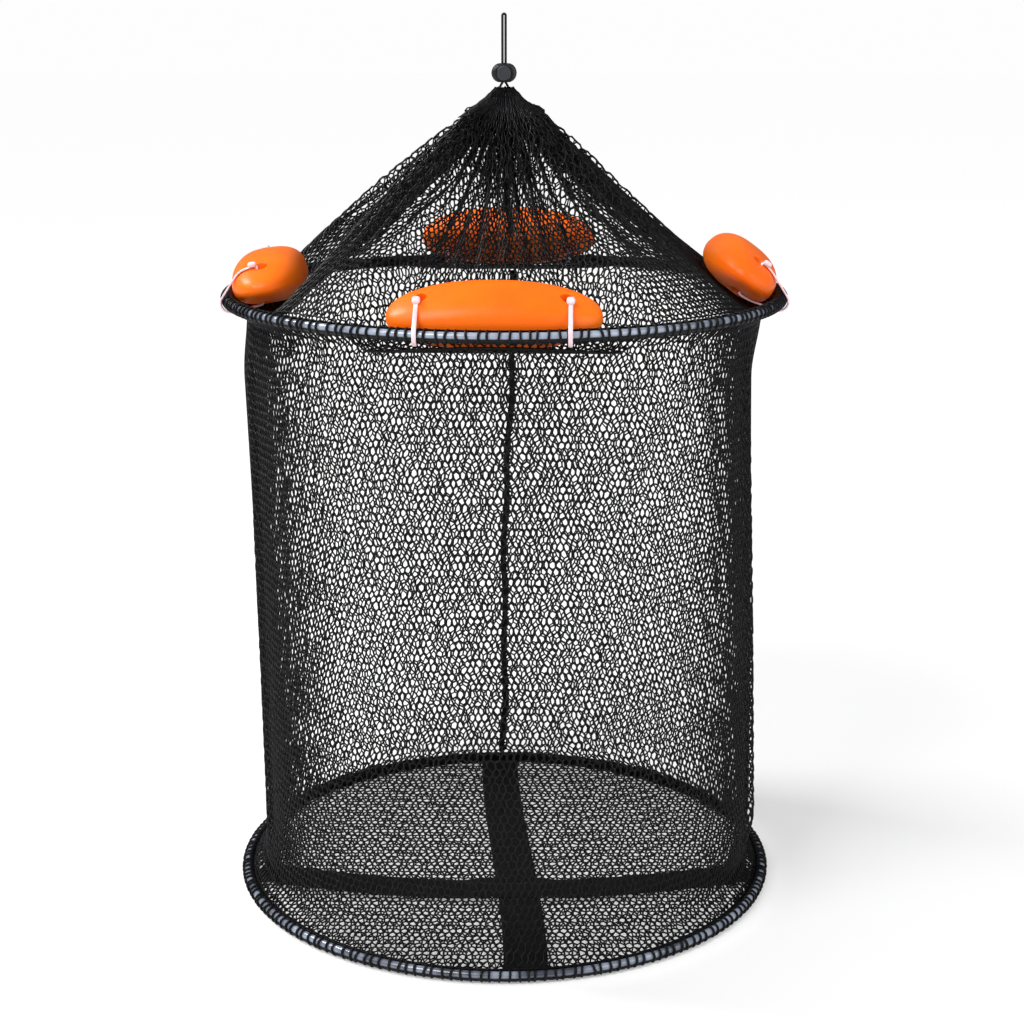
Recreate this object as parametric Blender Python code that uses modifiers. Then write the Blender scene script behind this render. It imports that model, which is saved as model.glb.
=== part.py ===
"""Floating keep net: two wire hoops, a netting basket, a drawcord cone and four floats.

The origin is the top of the drawcord loop, where the net hangs. X is to the right, Y is to the
back and Z is up. All sizes are in metres.
"""

import math

import bmesh
import bpy
from mathutils import Matrix, Vector
from mathutils.geometry import convex_hull_2d

# Driving dimensions of the whole net
HOOP_RADIUS = 0.160
HOOP_SPACING = 0.354
CONE_RISE = 0.116
LOCK_ABOVE_RIM = 0.0035
LOOP_ABOVE_LOCK = 0.0278
CLEARANCE = 0.0003

# Hoop: spring wire in a plastic sheath, joined by a crimped ferrule at the back
WIRE_RADIUS = 0.0015
SHEATH_RADIUS = 0.0024
FERRULE_LENGTH = 0.016
WIRE_END_GAP = 0.001
HOOP_SEGMENTS = 54
SEAM_ANGLE = math.radians(90)

# Hem: the edge of the netting, lashed to the inner side of the hoop
HEM_THICKNESS = 0.0009
HEM_FROM = math.radians(100)
HEM_TO = math.radians(260)
HEM_FACETS = 4

# Netting: the wall is drawn in from the hoops, and the cone hollows slightly towards its rim
NET_THICKNESS = 0.0008
WALL_INSET = 0.0115
WALL_FLARE = 0.022
WALL_FOLD_DEPTH = 0.0014
WALL_EDGE = math.radians(235)
WALL_KNEE = 0.35
RIM_RADIUS = 0.0075
CONE_HOLLOW = 0.03
CONE_EDGE_FREE = math.radians(128)
CONE_EDGE_PRESSED = math.radians(200)
PLEAT_DEPTH = 0.0018
PLEATS = 18
PLEATS_FULL_FROM = 0.19
PLEATS_FADE_FROM = 0.31
PLEATS_GONE_AT = 0.56
# Openings: a plain grid that stands for the fine meshes. The cone's are in every second column of
# the bands counted here, in from the hoop; the wall's are two of its columns wide
WALL_OPENING_ROWS = 5
WALL_BAR_EVERY = 3
NET_BAR = 0.006
CONE_OPEN_BANDS = (5, 7)
SEAM_RADIUS = 0.0011
SEAM_SLACK = 1.12
FLOOR_MESH_PITCH = 0.0415
FLOOR_MESH_BAR = 0.0024
FLOOR_BORDER = 0.004
FLOOR_DROP = 0.55

# Webbing straps across the floor: where each lies, and how far the upper one is bowed
STRAP_WIDTH = 0.025
STRAP_THICKNESS = 0.0012
STRAP_BOW = 0.028
LONG_STRAP_BACK_X = -0.004
LONG_STRAP_FRONT_X = 0.0123
CROSSING_X = 0.0035
CROSSING_Y = -0.0525
HUMP_LEVEL = 0.004
HUMP_LENGTH = 0.016
STRAP_STEPS = 14

# Drawcord and cord lock
CORD_RADIUS = 0.0006
STRAND_SPACING = 0.002
CORD_GATHER_GAP = math.radians(84)
CORD_GATHER_STEPS = 16
CORD_SPREAD = 2.2
CORD_FORWARD = 0.45
LOOP_STEPS = 6
LOCK_WIDTH = 0.0144
LOCK_HEIGHT = 0.0106
LOCK_FRONT = 0.005
LOCK_BACK = 0.0085
LOCK_EDGE = 0.0016
BUTTON_WIDTH = 0.0078
BUTTON_HEIGHT = 0.0086
BUTTON_PROUD = 0.0042
BUTTON_TRAVEL = 0.0025
BUTTON_LAND = 0.0012
SPRING_RADIUS = 0.0026
SPRING_WIRE = 0.00025
SPRING_LENGTH = 0.0048
SPRING_TURNS = 4
SPRING_TURN_STEPS = 9

# Floats: moulded, tied to the hoop through two holes. The ends are rounded by a power curve, and
# so is the section, whose exponents make it fuller than an ellipse
FLOAT_LENGTH = 0.112
FLOAT_WIDTH = 0.041
FLOAT_ABOVE_SEAM = 0.0165
FLOAT_BELOW_SEAM = 0.0125
FLOAT_END_TAPER = 0.30
FLOAT_END_SQUARENESS = 2.7
FLOAT_END_ROUNDNESS = 0.42
FLOAT_ACROSS_FULLNESS = 0.74
FLOAT_UPWARD_FULLNESS = 0.80
FLOAT_ROW_SPREAD = 0.70
FLOAT_HOLE_RADIUS = 0.0048
FLOAT_HOLE_FROM_END = 0.018
NET_UNDER_FLOAT = 0.0012
NET_FADE_FROM = math.radians(24)
NET_FADE_TO = math.radians(34)
LEAN_BELOW_REST = math.radians(5)

# Cable ties: each runs down through its hole, past the middle towards the hoop and the float's end
TIE_PAST_HOLE = 0.0015
TIE_OFF_CENTRE = 0.0022
TIE_WIDTH = 0.0025
TIE_THICKNESS = 0.0011
TIE_HEAD_LENGTH = 0.0048
TIE_HEAD_WIDTH = 0.0044
TIE_HEAD_HEIGHT = 0.0032
TIE_HOOP_RADIUS = 0.0047
TIE_NOTCH_INWARD = 0.006

# Each float: name, place round the hoop, how far its middle lies inside the hoop, height over the
# hoop and lean, which lifts its inner edge
FLOATS = (
    ("front", math.radians(-92.0), 0.0265, 0.0060, math.radians(25)),
    ("left", math.radians(181.5), 0.0245, 0.0090, math.radians(8)),
    ("right", math.radians(0.5), 0.0240, 0.0135, math.radians(37)),
    ("back", math.radians(89.0), 0.0230, 0.0160, math.radians(43)),
)

# Where the cone's rows of points lie: in float widths in from the hoop, then as shares of the way
# from the rim out to the last of those
CONE_ROWS_BY_FLOATS = (0.22, 0.41, 0.66, 0.95, 1.32)
CONE_ROWS_TO_RIM = (0.82, 0.77, 0.51, 0.29, 0.13)

# Heights and lengths that follow
LOOP_RISE = LOOP_ABOVE_LOCK + LOCK_HEIGHT + LOCK_ABOVE_RIM
HOOP_Z = -(LOOP_RISE + CONE_RISE)
BASE_Z = HOOP_Z - HOOP_SPACING
LOCK_Z = -(LOOP_ABOVE_LOCK + LOCK_HEIGHT / 2)
HEM_INNER = SHEATH_RADIUS + CLEARANCE
HEM_OUTER = HEM_INNER + HEM_THICKNESS
NET_STANDOFF = HEM_OUTER + CLEARANCE + NET_THICKNESS / 2
WALL_RADIUS = HOOP_RADIUS - WALL_INSET
FLOAT_HOLE_STATION = FLOAT_LENGTH / 2 - FLOAT_HOLE_FROM_END
TIE_STATION = FLOAT_HOLE_STATION + TIE_PAST_HOLE
CHORD_RADIUS = math.sqrt(HOOP_RADIUS**2 - TIE_STATION**2)
FLOOR_Z = BASE_Z - HEM_OUTER * FLOOR_DROP
CORD_RING_RADIUS = RIM_RADIUS - NET_THICKNESS / 2 - CLEARANCE - CORD_RADIUS
STRAP_Z = FLOOR_Z + NET_THICKNESS / 2 + CLEARANCE + STRAP_THICKNESS / 2

for leftover in list(bpy.data.objects):
    bpy.data.objects.remove(leftover, do_unlink=True)

PARTS = bpy.data.collections.new("floating_keep_net")
CUTTERS = bpy.data.collections.new("cutters")
bpy.context.scene.collection.children.link(PARTS)
bpy.context.scene.collection.children.link(CUTTERS)


def material(name, colour, roughness, metallic=0.0):
    made = bpy.data.materials.new(name)
    made.use_nodes = True
    shader = made.node_tree.nodes["Principled BSDF"]
    shader.inputs["Base Color"].default_value = (*colour, 1.0)
    shader.inputs["Roughness"].default_value = roughness
    shader.inputs["Metallic"].default_value = metallic
    return made


WIRE_STEEL = material("wire_steel", (0.55, 0.56, 0.58), 0.35, 1.0)
SHEATH_GREY = material("sheath_grey", (0.16, 0.18, 0.22), 0.4)
NET_BLACK = material("net_black", (0.012, 0.012, 0.013), 0.6)
WEBBING_BLACK = material("webbing_black", (0.015, 0.015, 0.016), 0.75)
CORD_BLACK = material("cord_black", (0.012, 0.012, 0.014), 0.55)
LOCK_CHARCOAL = material("lock_charcoal", (0.03, 0.03, 0.036), 0.45)
SPRING_STEEL = material("spring_steel", (0.6, 0.6, 0.62), 0.3, 1.0)
FLOAT_FOAM = material("float_foam", (1.0, 0.19, 0.012), 0.4)
TIE_NYLON = material("tie_nylon", (0.85, 0.68, 0.66), 0.35)


def add_object(name, data, finish, collection=PARTS):
    made = bpy.data.objects.new(name, data)
    data.materials.append(finish)
    collection.objects.link(made)
    return made


def mesh_from(name, bm):
    mesh = bpy.data.meshes.new(name)
    bm.to_mesh(mesh)
    bm.free()
    return mesh


def evaluated_mesh(obj, name):
    """The object's mesh with its modifiers, or a curve's welded tube, in its own frame."""
    bpy.context.view_layer.update()
    graph = bpy.context.evaluated_depsgraph_get()
    mesh = bpy.data.meshes.new_from_object(obj.evaluated_get(graph))
    mesh.name = name
    bm = bmesh.new()
    bm.from_mesh(mesh)
    bmesh.ops.remove_doubles(bm, verts=bm.verts, dist=0.000001)
    bm.to_mesh(mesh)
    bm.free()
    return mesh


def make_solid_mesh(curve_object, finish):
    """Replaces a curve object by a mesh object in the same place."""
    name = curve_object.name
    place = curve_object.matrix_world.copy()
    mesh = evaluated_mesh(curve_object, name)
    mesh.materials.clear()
    bpy.data.objects.remove(curve_object, do_unlink=True)
    solid = add_object(name, mesh, finish)
    solid.matrix_world = place
    return solid


def hide_cutter(cutter):
    cutter.hide_render = True
    cutter.display_type = "WIRE"


def cut(target, cutter, operation="DIFFERENCE"):
    hide_cutter(cutter)
    change = target.modifiers.new(cutter.name, "BOOLEAN")
    change.operation = operation
    change.object = cutter
    change.solver = "EXACT"


def smooth_step(value, low, high):
    share = min(max((value - low) / (high - low), 0.0), 1.0)
    return share * share * (3 - 2 * share)


def poly_tube(name, points, radius, finish, closed=False, resolution=2):
    """A round tube along points, as a POLY curve with a bevel and filled caps."""
    curve = bpy.data.curves.new(name, "CURVE")
    curve.dimensions = "3D"
    curve.bevel_depth = radius
    curve.bevel_resolution = resolution
    curve.use_fill_caps = not closed
    line = curve.splines.new("POLY")
    line.points.add(len(points) - 1)
    for control, place in zip(line.points, points):
        control.co = (*place, 1.0)
    line.use_cyclic_u = closed
    return add_object(name, curve, finish)


def filled_outline(name, outlines, depth, finish, collection=PARTS):
    """A flat 2D curve with a thickness: the first outline is the edge, the others are holes."""
    curve = bpy.data.curves.new(name, "CURVE")
    curve.dimensions = "2D"
    curve.fill_mode = "BOTH"
    curve.extrude = depth / 2
    for outline in outlines:
        line = curve.splines.new("POLY")
        line.points.add(len(outline) - 1)
        for control, place in zip(line.points, outline):
            control.co = (place[0], place[1], 0.0, 1.0)
        line.use_cyclic_u = True
    return add_object(name, curve, finish, collection)


def ring_point(radius, angle, z=0.0):
    return Vector((radius * math.cos(angle), radius * math.sin(angle), z))


def round_profile(radius, sides=8):
    """A closed circle round the hoop's centre line, going down its outer side."""
    turns = [0.5 - step / sides for step in range(sides)]
    return [
        (HOOP_RADIUS + radius * math.cos(math.tau * t), radius * math.sin(math.tau * t))
        for t in turns
    ]


def steps_in(sweep):
    return max(2, round(HOOP_SEGMENTS * sweep / math.tau))


def swept_shell(name, profile, wall, finish, start=0.0, sweep=math.tau, closed=True):
    """An open surface turned about Z by a Screw modifier, with its wall inside the surface."""
    mesh = bpy.data.meshes.new(name)
    corners = [(r, 0.0, z) for r, z in profile]
    sides = [(n, n + 1) for n in range(len(profile) - 1)]
    if closed:
        sides.append((len(profile) - 1, 0))
    mesh.from_pydata(corners, sides, [])
    ring = add_object(name, mesh, finish)
    ring.rotation_euler.z = start
    turn = ring.modifiers.new("turn", "SCREW")
    turn.axis = "Z"
    turn.angle = sweep
    turn.steps = steps_in(sweep)
    turn.render_steps = turn.steps
    turn.use_merge_vertices = True
    turn.merge_threshold = 0.00001
    turn.use_smooth_shade = True
    shell = ring.modifiers.new("wall", "SOLIDIFY")
    shell.thickness = wall
    shell.offset = -1.0
    shell.use_even_offset = True
    return ring


def hoop(prefix, z):
    """Wire, sheath, ferrule and hem of one hoop; wire and sheath bend at the same angles."""
    wall = SHEATH_RADIUS - WIRE_RADIUS - CLEARANCE
    half_ferrule = FERRULE_LENGTH / 2 / HOOP_RADIUS
    sleeve_end = half_ferrule + CLEARANCE / HOOP_RADIUS
    sheathed = math.tau - 2 * sleeve_end
    steps = steps_in(sheathed)
    wire_end = WIRE_END_GAP / 2 / HOOP_RADIUS
    bends = [sleeve_end + sheathed * n / steps for n in range(steps + 1)]
    turns = [wire_end, *bends, math.tau - wire_end]
    wire = poly_tube(
        f"{prefix}_hoop_wire",
        [ring_point(HOOP_RADIUS, SEAM_ANGLE + turn) for turn in turns],
        WIRE_RADIUS,
        WIRE_STEEL,
        resolution=1,
    )
    sheath = swept_shell(
        f"{prefix}_hoop_sheath",
        round_profile(SHEATH_RADIUS),
        wall,
        SHEATH_GREY,
        SEAM_ANGLE + sleeve_end,
        sheathed,
    )
    ferrule = swept_shell(
        f"{prefix}_hoop_ferrule",
        round_profile(SHEATH_RADIUS),
        wall,
        WIRE_STEEL,
        SEAM_ANGLE - half_ferrule,
        2 * half_ferrule,
    )
    step = (HEM_TO - HEM_FROM) / HEM_FACETS
    hem_profile = [
        (
            HOOP_RADIUS + HEM_OUTER * math.cos(HEM_TO - step * n),
            HEM_OUTER * math.sin(HEM_TO - step * n),
        )
        for n in range(HEM_FACETS + 1)
    ]
    hem = swept_shell(f"{prefix}_hoop_hem", hem_profile, HEM_THICKNESS, NET_BLACK, closed=False)
    for piece in (wire, sheath, ferrule, hem):
        piece.location.z = z


class FloatSeat:
    """Where one float lies: its hinge line along the hoop, and its section across that line."""

    def __init__(self, name, angle, inset, height, lean):
        self.name = name
        self.angle = angle
        self.reach = HOOP_RADIUS - inset
        self.height = height
        self.lean = lean

    def hinge_in_section(self):
        """The hinge line as (u, n) from the float's middle: u across it, n square to its seam."""
        y = CHORD_RADIUS - self.reach
        z = -self.height
        across, square = math.cos(self.lean), math.sin(self.lean)
        return (y * across - z * square, y * square + z * across)

    def from_section(self, u, n, tip=0.0):
        """From the float's (u, n) to (outward, up), after tipping by an angle about the hinge."""
        hinge_u, hinge_n = self.hinge_in_section()
        u -= hinge_u
        n -= hinge_n
        lean = self.lean + tip
        y = u * math.cos(lean) + n * math.sin(lean)
        z = -u * math.sin(lean) + n * math.cos(lean)
        return (CHORD_RADIUS + y, z)


SEATS = [FloatSeat(*row) for row in FLOATS]


def float_surface(station_share, around, offset=0.0):
    """A point of the float's skin: station_share is -1 to 1 along it, around is an angle."""
    end = (1 - abs(station_share) ** FLOAT_END_SQUARENESS) ** FLOAT_END_ROUNDNESS
    crown = 1 - FLOAT_END_TAPER * station_share**2
    half_width = FLOAT_WIDTH / 2 * end + offset
    deep = FLOAT_ABOVE_SEAM if math.sin(around) > 0 else FLOAT_BELOW_SEAM
    half_depth = deep * end * crown + offset
    across = math.copysign(abs(math.cos(around)) ** FLOAT_ACROSS_FULLNESS, math.cos(around))
    upward = math.copysign(abs(math.sin(around)) ** FLOAT_UPWARD_FULLNESS, math.sin(around))
    return (half_width * across, half_depth * upward)


def section_outline(station, offset=0.0, points=16):
    share = station / (FLOAT_LENGTH / 2)
    turns = [math.tau * n / points for n in range(points)]
    return [float_surface(share, turn, offset) for turn in turns]


def float_body(seat, hinge):
    """A crowned lozenge with two tie holes."""
    bm = bmesh.new()
    bmesh.ops.create_uvsphere(bm, u_segments=16, v_segments=12, radius=1.0)
    bmesh.ops.rotate(bm, verts=bm.verts, matrix=Matrix.Rotation(math.pi / 2, 3, "Y"))
    for corner in bm.verts:
        x, y, z = corner.co
        share = math.copysign(abs(x) ** FLOAT_ROW_SPREAD, x)
        share = max(-1.0, min(1.0, share))
        around = math.atan2(z, y)
        if abs(share) > 0.9999:
            corner.co = (share * FLOAT_LENGTH / 2, 0.0, 0.0)
        else:
            u, n = float_surface(share, around)
            corner.co = (share * FLOAT_LENGTH / 2, u, n)
    bmesh.ops.recalc_face_normals(bm, faces=bm.faces)
    body = add_object(f"float_{seat.name}", mesh_from(f"float_{seat.name}", bm), FLOAT_FOAM)
    for side in (-1, 1):
        drill = bmesh.new()
        bmesh.ops.create_cone(
            drill,
            cap_ends=True,
            segments=12,
            radius1=FLOAT_HOLE_RADIUS,
            radius2=FLOAT_HOLE_RADIUS,
            depth=FLOAT_WIDTH,
        )
        bmesh.ops.translate(drill, verts=drill.verts, vec=(side * FLOAT_HOLE_STATION, 0, 0))
        name = f"drill_{seat.name}_{'left' if side < 0 else 'right'}"
        cutter = add_object(name, mesh_from(name, drill), FLOAT_FOAM, CUTTERS)
        seat_on_hinge(cutter, seat, hinge)
        cut(body, cutter)
    seat_on_hinge(body, seat, hinge)


def seat_on_hinge(piece, seat, hinge):
    piece.parent = hinge
    piece.location = (0.0, seat.reach - CHORD_RADIUS, seat.height)
    piece.rotation_euler.x = -seat.lean


def tie_loop(seat, offset):
    """The strap's path round the float's outer half and the hoop, as a taut outline."""
    hinge_u, hinge_n = seat.hinge_in_section()
    points = [
        (u, n)
        for u, n in section_outline(TIE_STATION, CLEARANCE + offset, 20)
        if u > TIE_OFF_CENTRE + TIE_THICKNESS
    ]
    top = max(n for _, n in section_outline(TIE_STATION)) + CLEARANCE + offset
    bottom = min(n for _, n in section_outline(TIE_STATION)) - CLEARANCE - offset
    inner = TIE_OFF_CENTRE + TIE_THICKNESS / 2 - offset
    points += [(inner, top), (inner, bottom)]
    for step in range(10):
        turn = math.tau * step / 10
        reach = TIE_HOOP_RADIUS + offset
        points.append((hinge_u + reach * math.cos(turn), hinge_n + reach * math.sin(turn)))
    ring = convex_hull_2d([Vector(p) for p in points])
    return [points[n] for n in ring]


def cable_tie(seat, hinge, side):
    """Strap and head of one tie, flat in the plane across the hoop."""
    end = "left" if side < 0 else "right"
    name = f"tie_{seat.name}_{end}"
    strap = filled_outline(
        name, [tie_loop(seat, TIE_THICKNESS), tie_loop(seat, 0.0)], TIE_WIDTH, TIE_NYLON
    )
    solid = make_solid_mesh(strap, TIE_NYLON)
    stand = Matrix.Rotation(math.pi / 2, 4, "Z") @ Matrix.Rotation(math.pi / 2, 4, "X")
    solid.data.transform(Matrix.Translation((side * TIE_STATION, 0, 0)) @ stand)
    top = max(n for _, n in section_outline(TIE_STATION)) + CLEARANCE
    head = bmesh.new()
    bmesh.ops.create_cube(head, size=1.0)
    bmesh.ops.scale(head, verts=head.verts, vec=(TIE_HEAD_WIDTH, TIE_HEAD_LENGTH, TIE_HEAD_HEIGHT))
    beside_hole = TIE_OFF_CENTRE + TIE_HEAD_LENGTH / 2
    middle = (side * TIE_STATION, beside_hole, top + TIE_HEAD_HEIGHT / 2)
    bmesh.ops.translate(head, verts=head.verts, vec=middle)
    cutter = add_object(f"{name}_head", mesh_from(f"{name}_head", head), TIE_NYLON, CUTTERS)
    seat_on_hinge(solid, seat, hinge)
    seat_on_hinge(cutter, seat, hinge)
    cut(solid, cutter, "UNION")


def floats():
    for seat in SEATS:
        hinge = bpy.data.objects.new(f"hinge_{seat.name}", None)
        PARTS.objects.link(hinge)
        hinge.location = ring_point(CHORD_RADIUS, seat.angle, HOOP_Z)
        hinge.rotation_euler.z = seat.angle - math.pi / 2
        float_body(seat, hinge)
        for side in (-1, 1):
            cable_tie(seat, hinge, side)


def hem_edge(angle):
    """Where netting starts beside the hem: (outward, up) from the hoop's centre line."""
    return (NET_STANDOFF * math.cos(angle), NET_STANDOFF * math.sin(angle))


def under_float(seat):
    """What the netting passes under: the float and its ties, at rest and tipped lowest."""
    outline = []
    for tip in (0.0, -LEAN_BELOW_REST):
        for u, n in section_outline(0.0, NET_UNDER_FLOAT + NET_THICKNESS):
            outline.append(seat.from_section(u, n, tip))
        for u, n in tie_loop(seat, TIE_THICKNESS + NET_UNDER_FLOAT):
            outline.append(seat.from_section(u, n, tip))
    return outline


def lower_chain_height(points, y):
    """The height at y of the taut line under points, which holds its own two ends."""
    ring = [points[n] for n in convex_hull_2d([Vector(p) for p in points])]
    heights = []
    for (y0, z0), (y1, z1) in zip(ring, ring[1:] + ring[:1]):
        low, high = min(y0, y1), max(y0, y1)
        if low <= y <= high and high - low > 1e-9:
            heights.append(z0 + (z1 - z0) * (y - y0) / (y1 - y0))
    return min(heights) if heights else 0.0


def angle_between(a, b):
    return abs((a - b + math.pi) % math.tau - math.pi)


OUTLINES = {seat.name: under_float(seat) for seat in SEATS}


def cone_straight(radius):
    """Height of the free cone over the hoop, slightly hollow towards the gathered rim."""
    out, low = hem_edge(CONE_EDGE_FREE)
    edge = HOOP_RADIUS + out
    share = (edge - radius) / (edge - RIM_RADIUS)
    return low + (CONE_RISE - low) * (share - CONE_HOLLOW * share * (1 - share))


def cone_point(radius, angle):
    """A point of the cone's netting, in the row's frame."""
    nearest = min(SEATS, key=lambda seat: angle_between(angle, seat.angle))
    off = angle_between(angle, nearest.angle)
    press = 1 - smooth_step(off, NET_FADE_FROM, NET_FADE_TO)
    out, up = hem_edge(CONE_EDGE_FREE + (CONE_EDGE_PRESSED - CONE_EDGE_FREE) * press)
    edge = HOOP_RADIUS + out
    if radius >= edge:
        return ring_point(edge, angle, HOOP_Z + up)
    height = cone_straight(radius)
    if press > 0:
        squeeze = math.cos(off)
        out, up = hem_edge(CONE_EDGE_PRESSED)
        taut = list(OUTLINES[nearest.name])
        taut.append(((HOOP_RADIUS + out) * squeeze, up))
        taut.append((RIM_RADIUS * squeeze, CONE_RISE))
        pressed = lower_chain_height(taut, radius * squeeze)
        height += (min(pressed, height) - height) * press
    across = radius / HOOP_RADIUS
    gathered = smooth_step(across, RIM_RADIUS / HOOP_RADIUS, PLEATS_FULL_FROM)
    gathered *= 1 - smooth_step(across, PLEATS_FADE_FROM, PLEATS_GONE_AT)
    height += PLEAT_DEPTH * gathered * math.cos(PLEATS * angle)
    return ring_point(radius, angle, HOOP_Z + height)


def cone_rows():
    """The radii of the cone's rows: close together under the floats, then out to the rim."""
    under = [HOOP_RADIUS - share * FLOAT_WIDTH for share in CONE_ROWS_BY_FLOATS]
    free = [RIM_RADIUS + share * (under[-1] - RIM_RADIUS) for share in CONE_ROWS_TO_RIM]
    return [HOOP_RADIUS, *under, *free, RIM_RADIUS]


def wall_depths():
    """The wall's rows: edge and knee of each flare, and between them the openings' edges."""
    edge = -hem_edge(WALL_EDGE)[1]
    knee = edge + (WALL_FLARE - edge) * WALL_KNEE
    pitch = (HOOP_SPACING - 2 * WALL_FLARE + NET_BAR) / WALL_OPENING_ROWS
    depths = [edge, knee]
    for row in range(WALL_OPENING_ROWS):
        top = WALL_FLARE + pitch * row
        depths += [top, top + pitch - NET_BAR]
    return [*depths, HOOP_SPACING - knee, HOOP_SPACING - edge]


def wall_point(depth, angle):
    """A point of the basket's wall, depth below the upper hoop, in the row's frame."""
    out, up = hem_edge(WALL_EDGE)
    top_edge = HOOP_RADIUS + out
    from_end = min(depth, HOOP_SPACING - depth)
    drawn_in = math.sin(smooth_step(from_end, -up, WALL_FLARE) * math.pi / 2)
    down = depth / HOOP_SPACING
    folds = 0.6 * math.sin(3 * angle + 3.2 * down) + 0.4 * math.sin(7 * angle - 1.8 * down)
    calm = smooth_step(from_end, WALL_FLARE, 3 * WALL_FLARE)
    quiet = smooth_step(angle_between(angle, SEAM_ANGLE), 0.1, 0.4)
    radius = top_edge + (WALL_RADIUS - top_edge) * drawn_in
    radius += WALL_FOLD_DEPTH * folds * calm * quiet
    return ring_point(radius, angle, HOOP_Z - depth)


def cone_grid_point(radius, line):
    return cone_point(radius, math.tau * line / HOOP_SEGMENTS)


def wall_grid_point(depth, line):
    """A point on an upright line of the wall: between the flares, two lines close up to a bar."""
    step = math.tau / HOOP_SEGMENTS
    angle = SEAM_ANGLE + (line - 0.5) * step
    if min(depth, HOOP_SPACING - depth) > WALL_FLARE - CLEARANCE:
        closer = (step - NET_BAR / WALL_RADIUS) / 2
        angle += closer * {0: 1, 1: -1}.get(line % WALL_BAR_EVERY, 0)
    return wall_point(depth, angle)


def turned_grid(name, rows, place, is_open):
    """A net through place(row, line), with an opening wherever is_open(band, column) says so."""
    bm = bmesh.new()
    loops = [[bm.verts.new(place(row, line)) for line in range(HOOP_SEGMENTS)] for row in rows]
    for band, (upper, lower) in enumerate(zip(loops, loops[1:])):
        for column in range(HOOP_SEGMENTS):
            if is_open(band, column):
                continue
            after = (column + 1) % HOOP_SEGMENTS
            bm.faces.new((upper[column], lower[column], lower[after], upper[after]))
    bmesh.ops.recalc_face_normals(bm, faces=bm.faces)
    for face in bm.faces:
        face.smooth = True
    shell = add_object(name, mesh_from(name, bm), NET_BLACK)
    wall = shell.modifiers.new("thread", "SOLIDIFY")
    wall.thickness = NET_THICKNESS
    wall.offset = 0.0
    return shell


def cone_is_open(band, column):
    return band in CONE_OPEN_BANDS and column % 2 == 0


def wall_is_open(band, column):
    """Every second band between the flares is a row of openings, with a bar between two."""
    in_opening_row = 2 <= band <= 2 * WALL_OPENING_ROWS and band % 2 == 0
    return in_opening_row and column % WALL_BAR_EVERY > 0


def netting():
    """Cone and wall with a plain grid of openings, notched for the ties, and their seams."""
    rows = cone_rows()
    depths = wall_depths()
    cone = turned_grid("net_cone", rows, cone_grid_point, cone_is_open)
    wall = turned_grid("net_wall", depths, wall_grid_point, wall_is_open)
    notch = 2 * (TIE_HOOP_RADIUS + TIE_THICKNESS + CLEARANCE + NET_THICKNESS)
    for seat in SEATS:
        for side in (-1, 1):
            box = bmesh.new()
            bmesh.ops.create_cube(box, size=1.0)
            size = (TIE_WIDTH + 4 * CLEARANCE, notch + TIE_NOTCH_INWARD, notch)
            bmesh.ops.scale(box, verts=box.verts, vec=size)
            bmesh.ops.translate(box, verts=box.verts, vec=(0, -TIE_NOTCH_INWARD / 2, 0))
            name = f"notch_{seat.name}_{'left' if side < 0 else 'right'}"
            cutter = add_object(name, mesh_from(name, box), NET_BLACK, CUTTERS)
            out = ring_point(CHORD_RADIUS, seat.angle, HOOP_Z)
            along = ring_point(side * TIE_STATION, seat.angle - math.pi / 2)
            cutter.location = out + along
            cutter.rotation_euler.z = seat.angle - math.pi / 2
            cut(cone, cutter)
            cut(wall, cutter)
    inside = NET_THICKNESS / 2 + CLEARANCE + SEAM_RADIUS
    inward = ring_point(inside, SEAM_ANGLE)
    stations = [depths[1], WALL_FLARE, HOOP_SPACING / 2, HOOP_SPACING - WALL_FLARE, depths[-2]]
    line = [wall_point(depth, SEAM_ANGLE) - inward for depth in stations]
    poly_tube("wall_seam", line, SEAM_RADIUS, NET_BLACK, resolution=1)
    slope = math.atan2(CONE_RISE, HOOP_RADIUS - RIM_RADIUS)
    under = inward * math.sin(slope) + Vector((0, 0, inside)) * math.cos(slope)
    past_floats = len(CONE_ROWS_BY_FLOATS)
    line = [cone_point(radius, SEAM_ANGLE) - under * SEAM_SLACK for radius in rows[past_floats:-1]]
    poly_tube("cone_seam", line, SEAM_RADIUS, NET_BLACK, resolution=1)


def floor_net():
    """A flat round net of hexagonal meshes inside the lower hoop."""
    edge = HOOP_RADIUS - NET_STANDOFF - CLEARANCE
    inner = edge - FLOOR_BORDER
    opening = (FLOOR_MESH_PITCH - FLOOR_MESH_BAR) / math.sqrt(3)
    turns = [math.tau * n / HOOP_SEGMENTS for n in range(HOOP_SEGMENTS)]
    outlines = [[ring_point(edge, turn)[:2] for turn in turns]]
    row_pitch = FLOOR_MESH_PITCH * math.sqrt(3) / 2
    reach = int(HOOP_RADIUS / row_pitch) + 1
    for row in range(-reach, reach + 1):
        for column in range(-reach - 1, reach + 2):
            x = (column + 0.5 * (row % 2)) * FLOOR_MESH_PITCH
            y = row * row_pitch
            if math.hypot(x, y) + opening / 3 > inner:
                continue
            corners = [math.radians(30 + 60 * n) for n in range(6)]
            mesh = [Vector((x + opening * math.cos(c), y + opening * math.sin(c))) for c in corners]
            outlines.append([c * min(1.0, inner / max(c.length, inner)) for c in mesh])
    net = filled_outline("net_floor", outlines, NET_THICKNESS, NET_BLACK)
    net.location.z = FLOOR_Z


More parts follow.
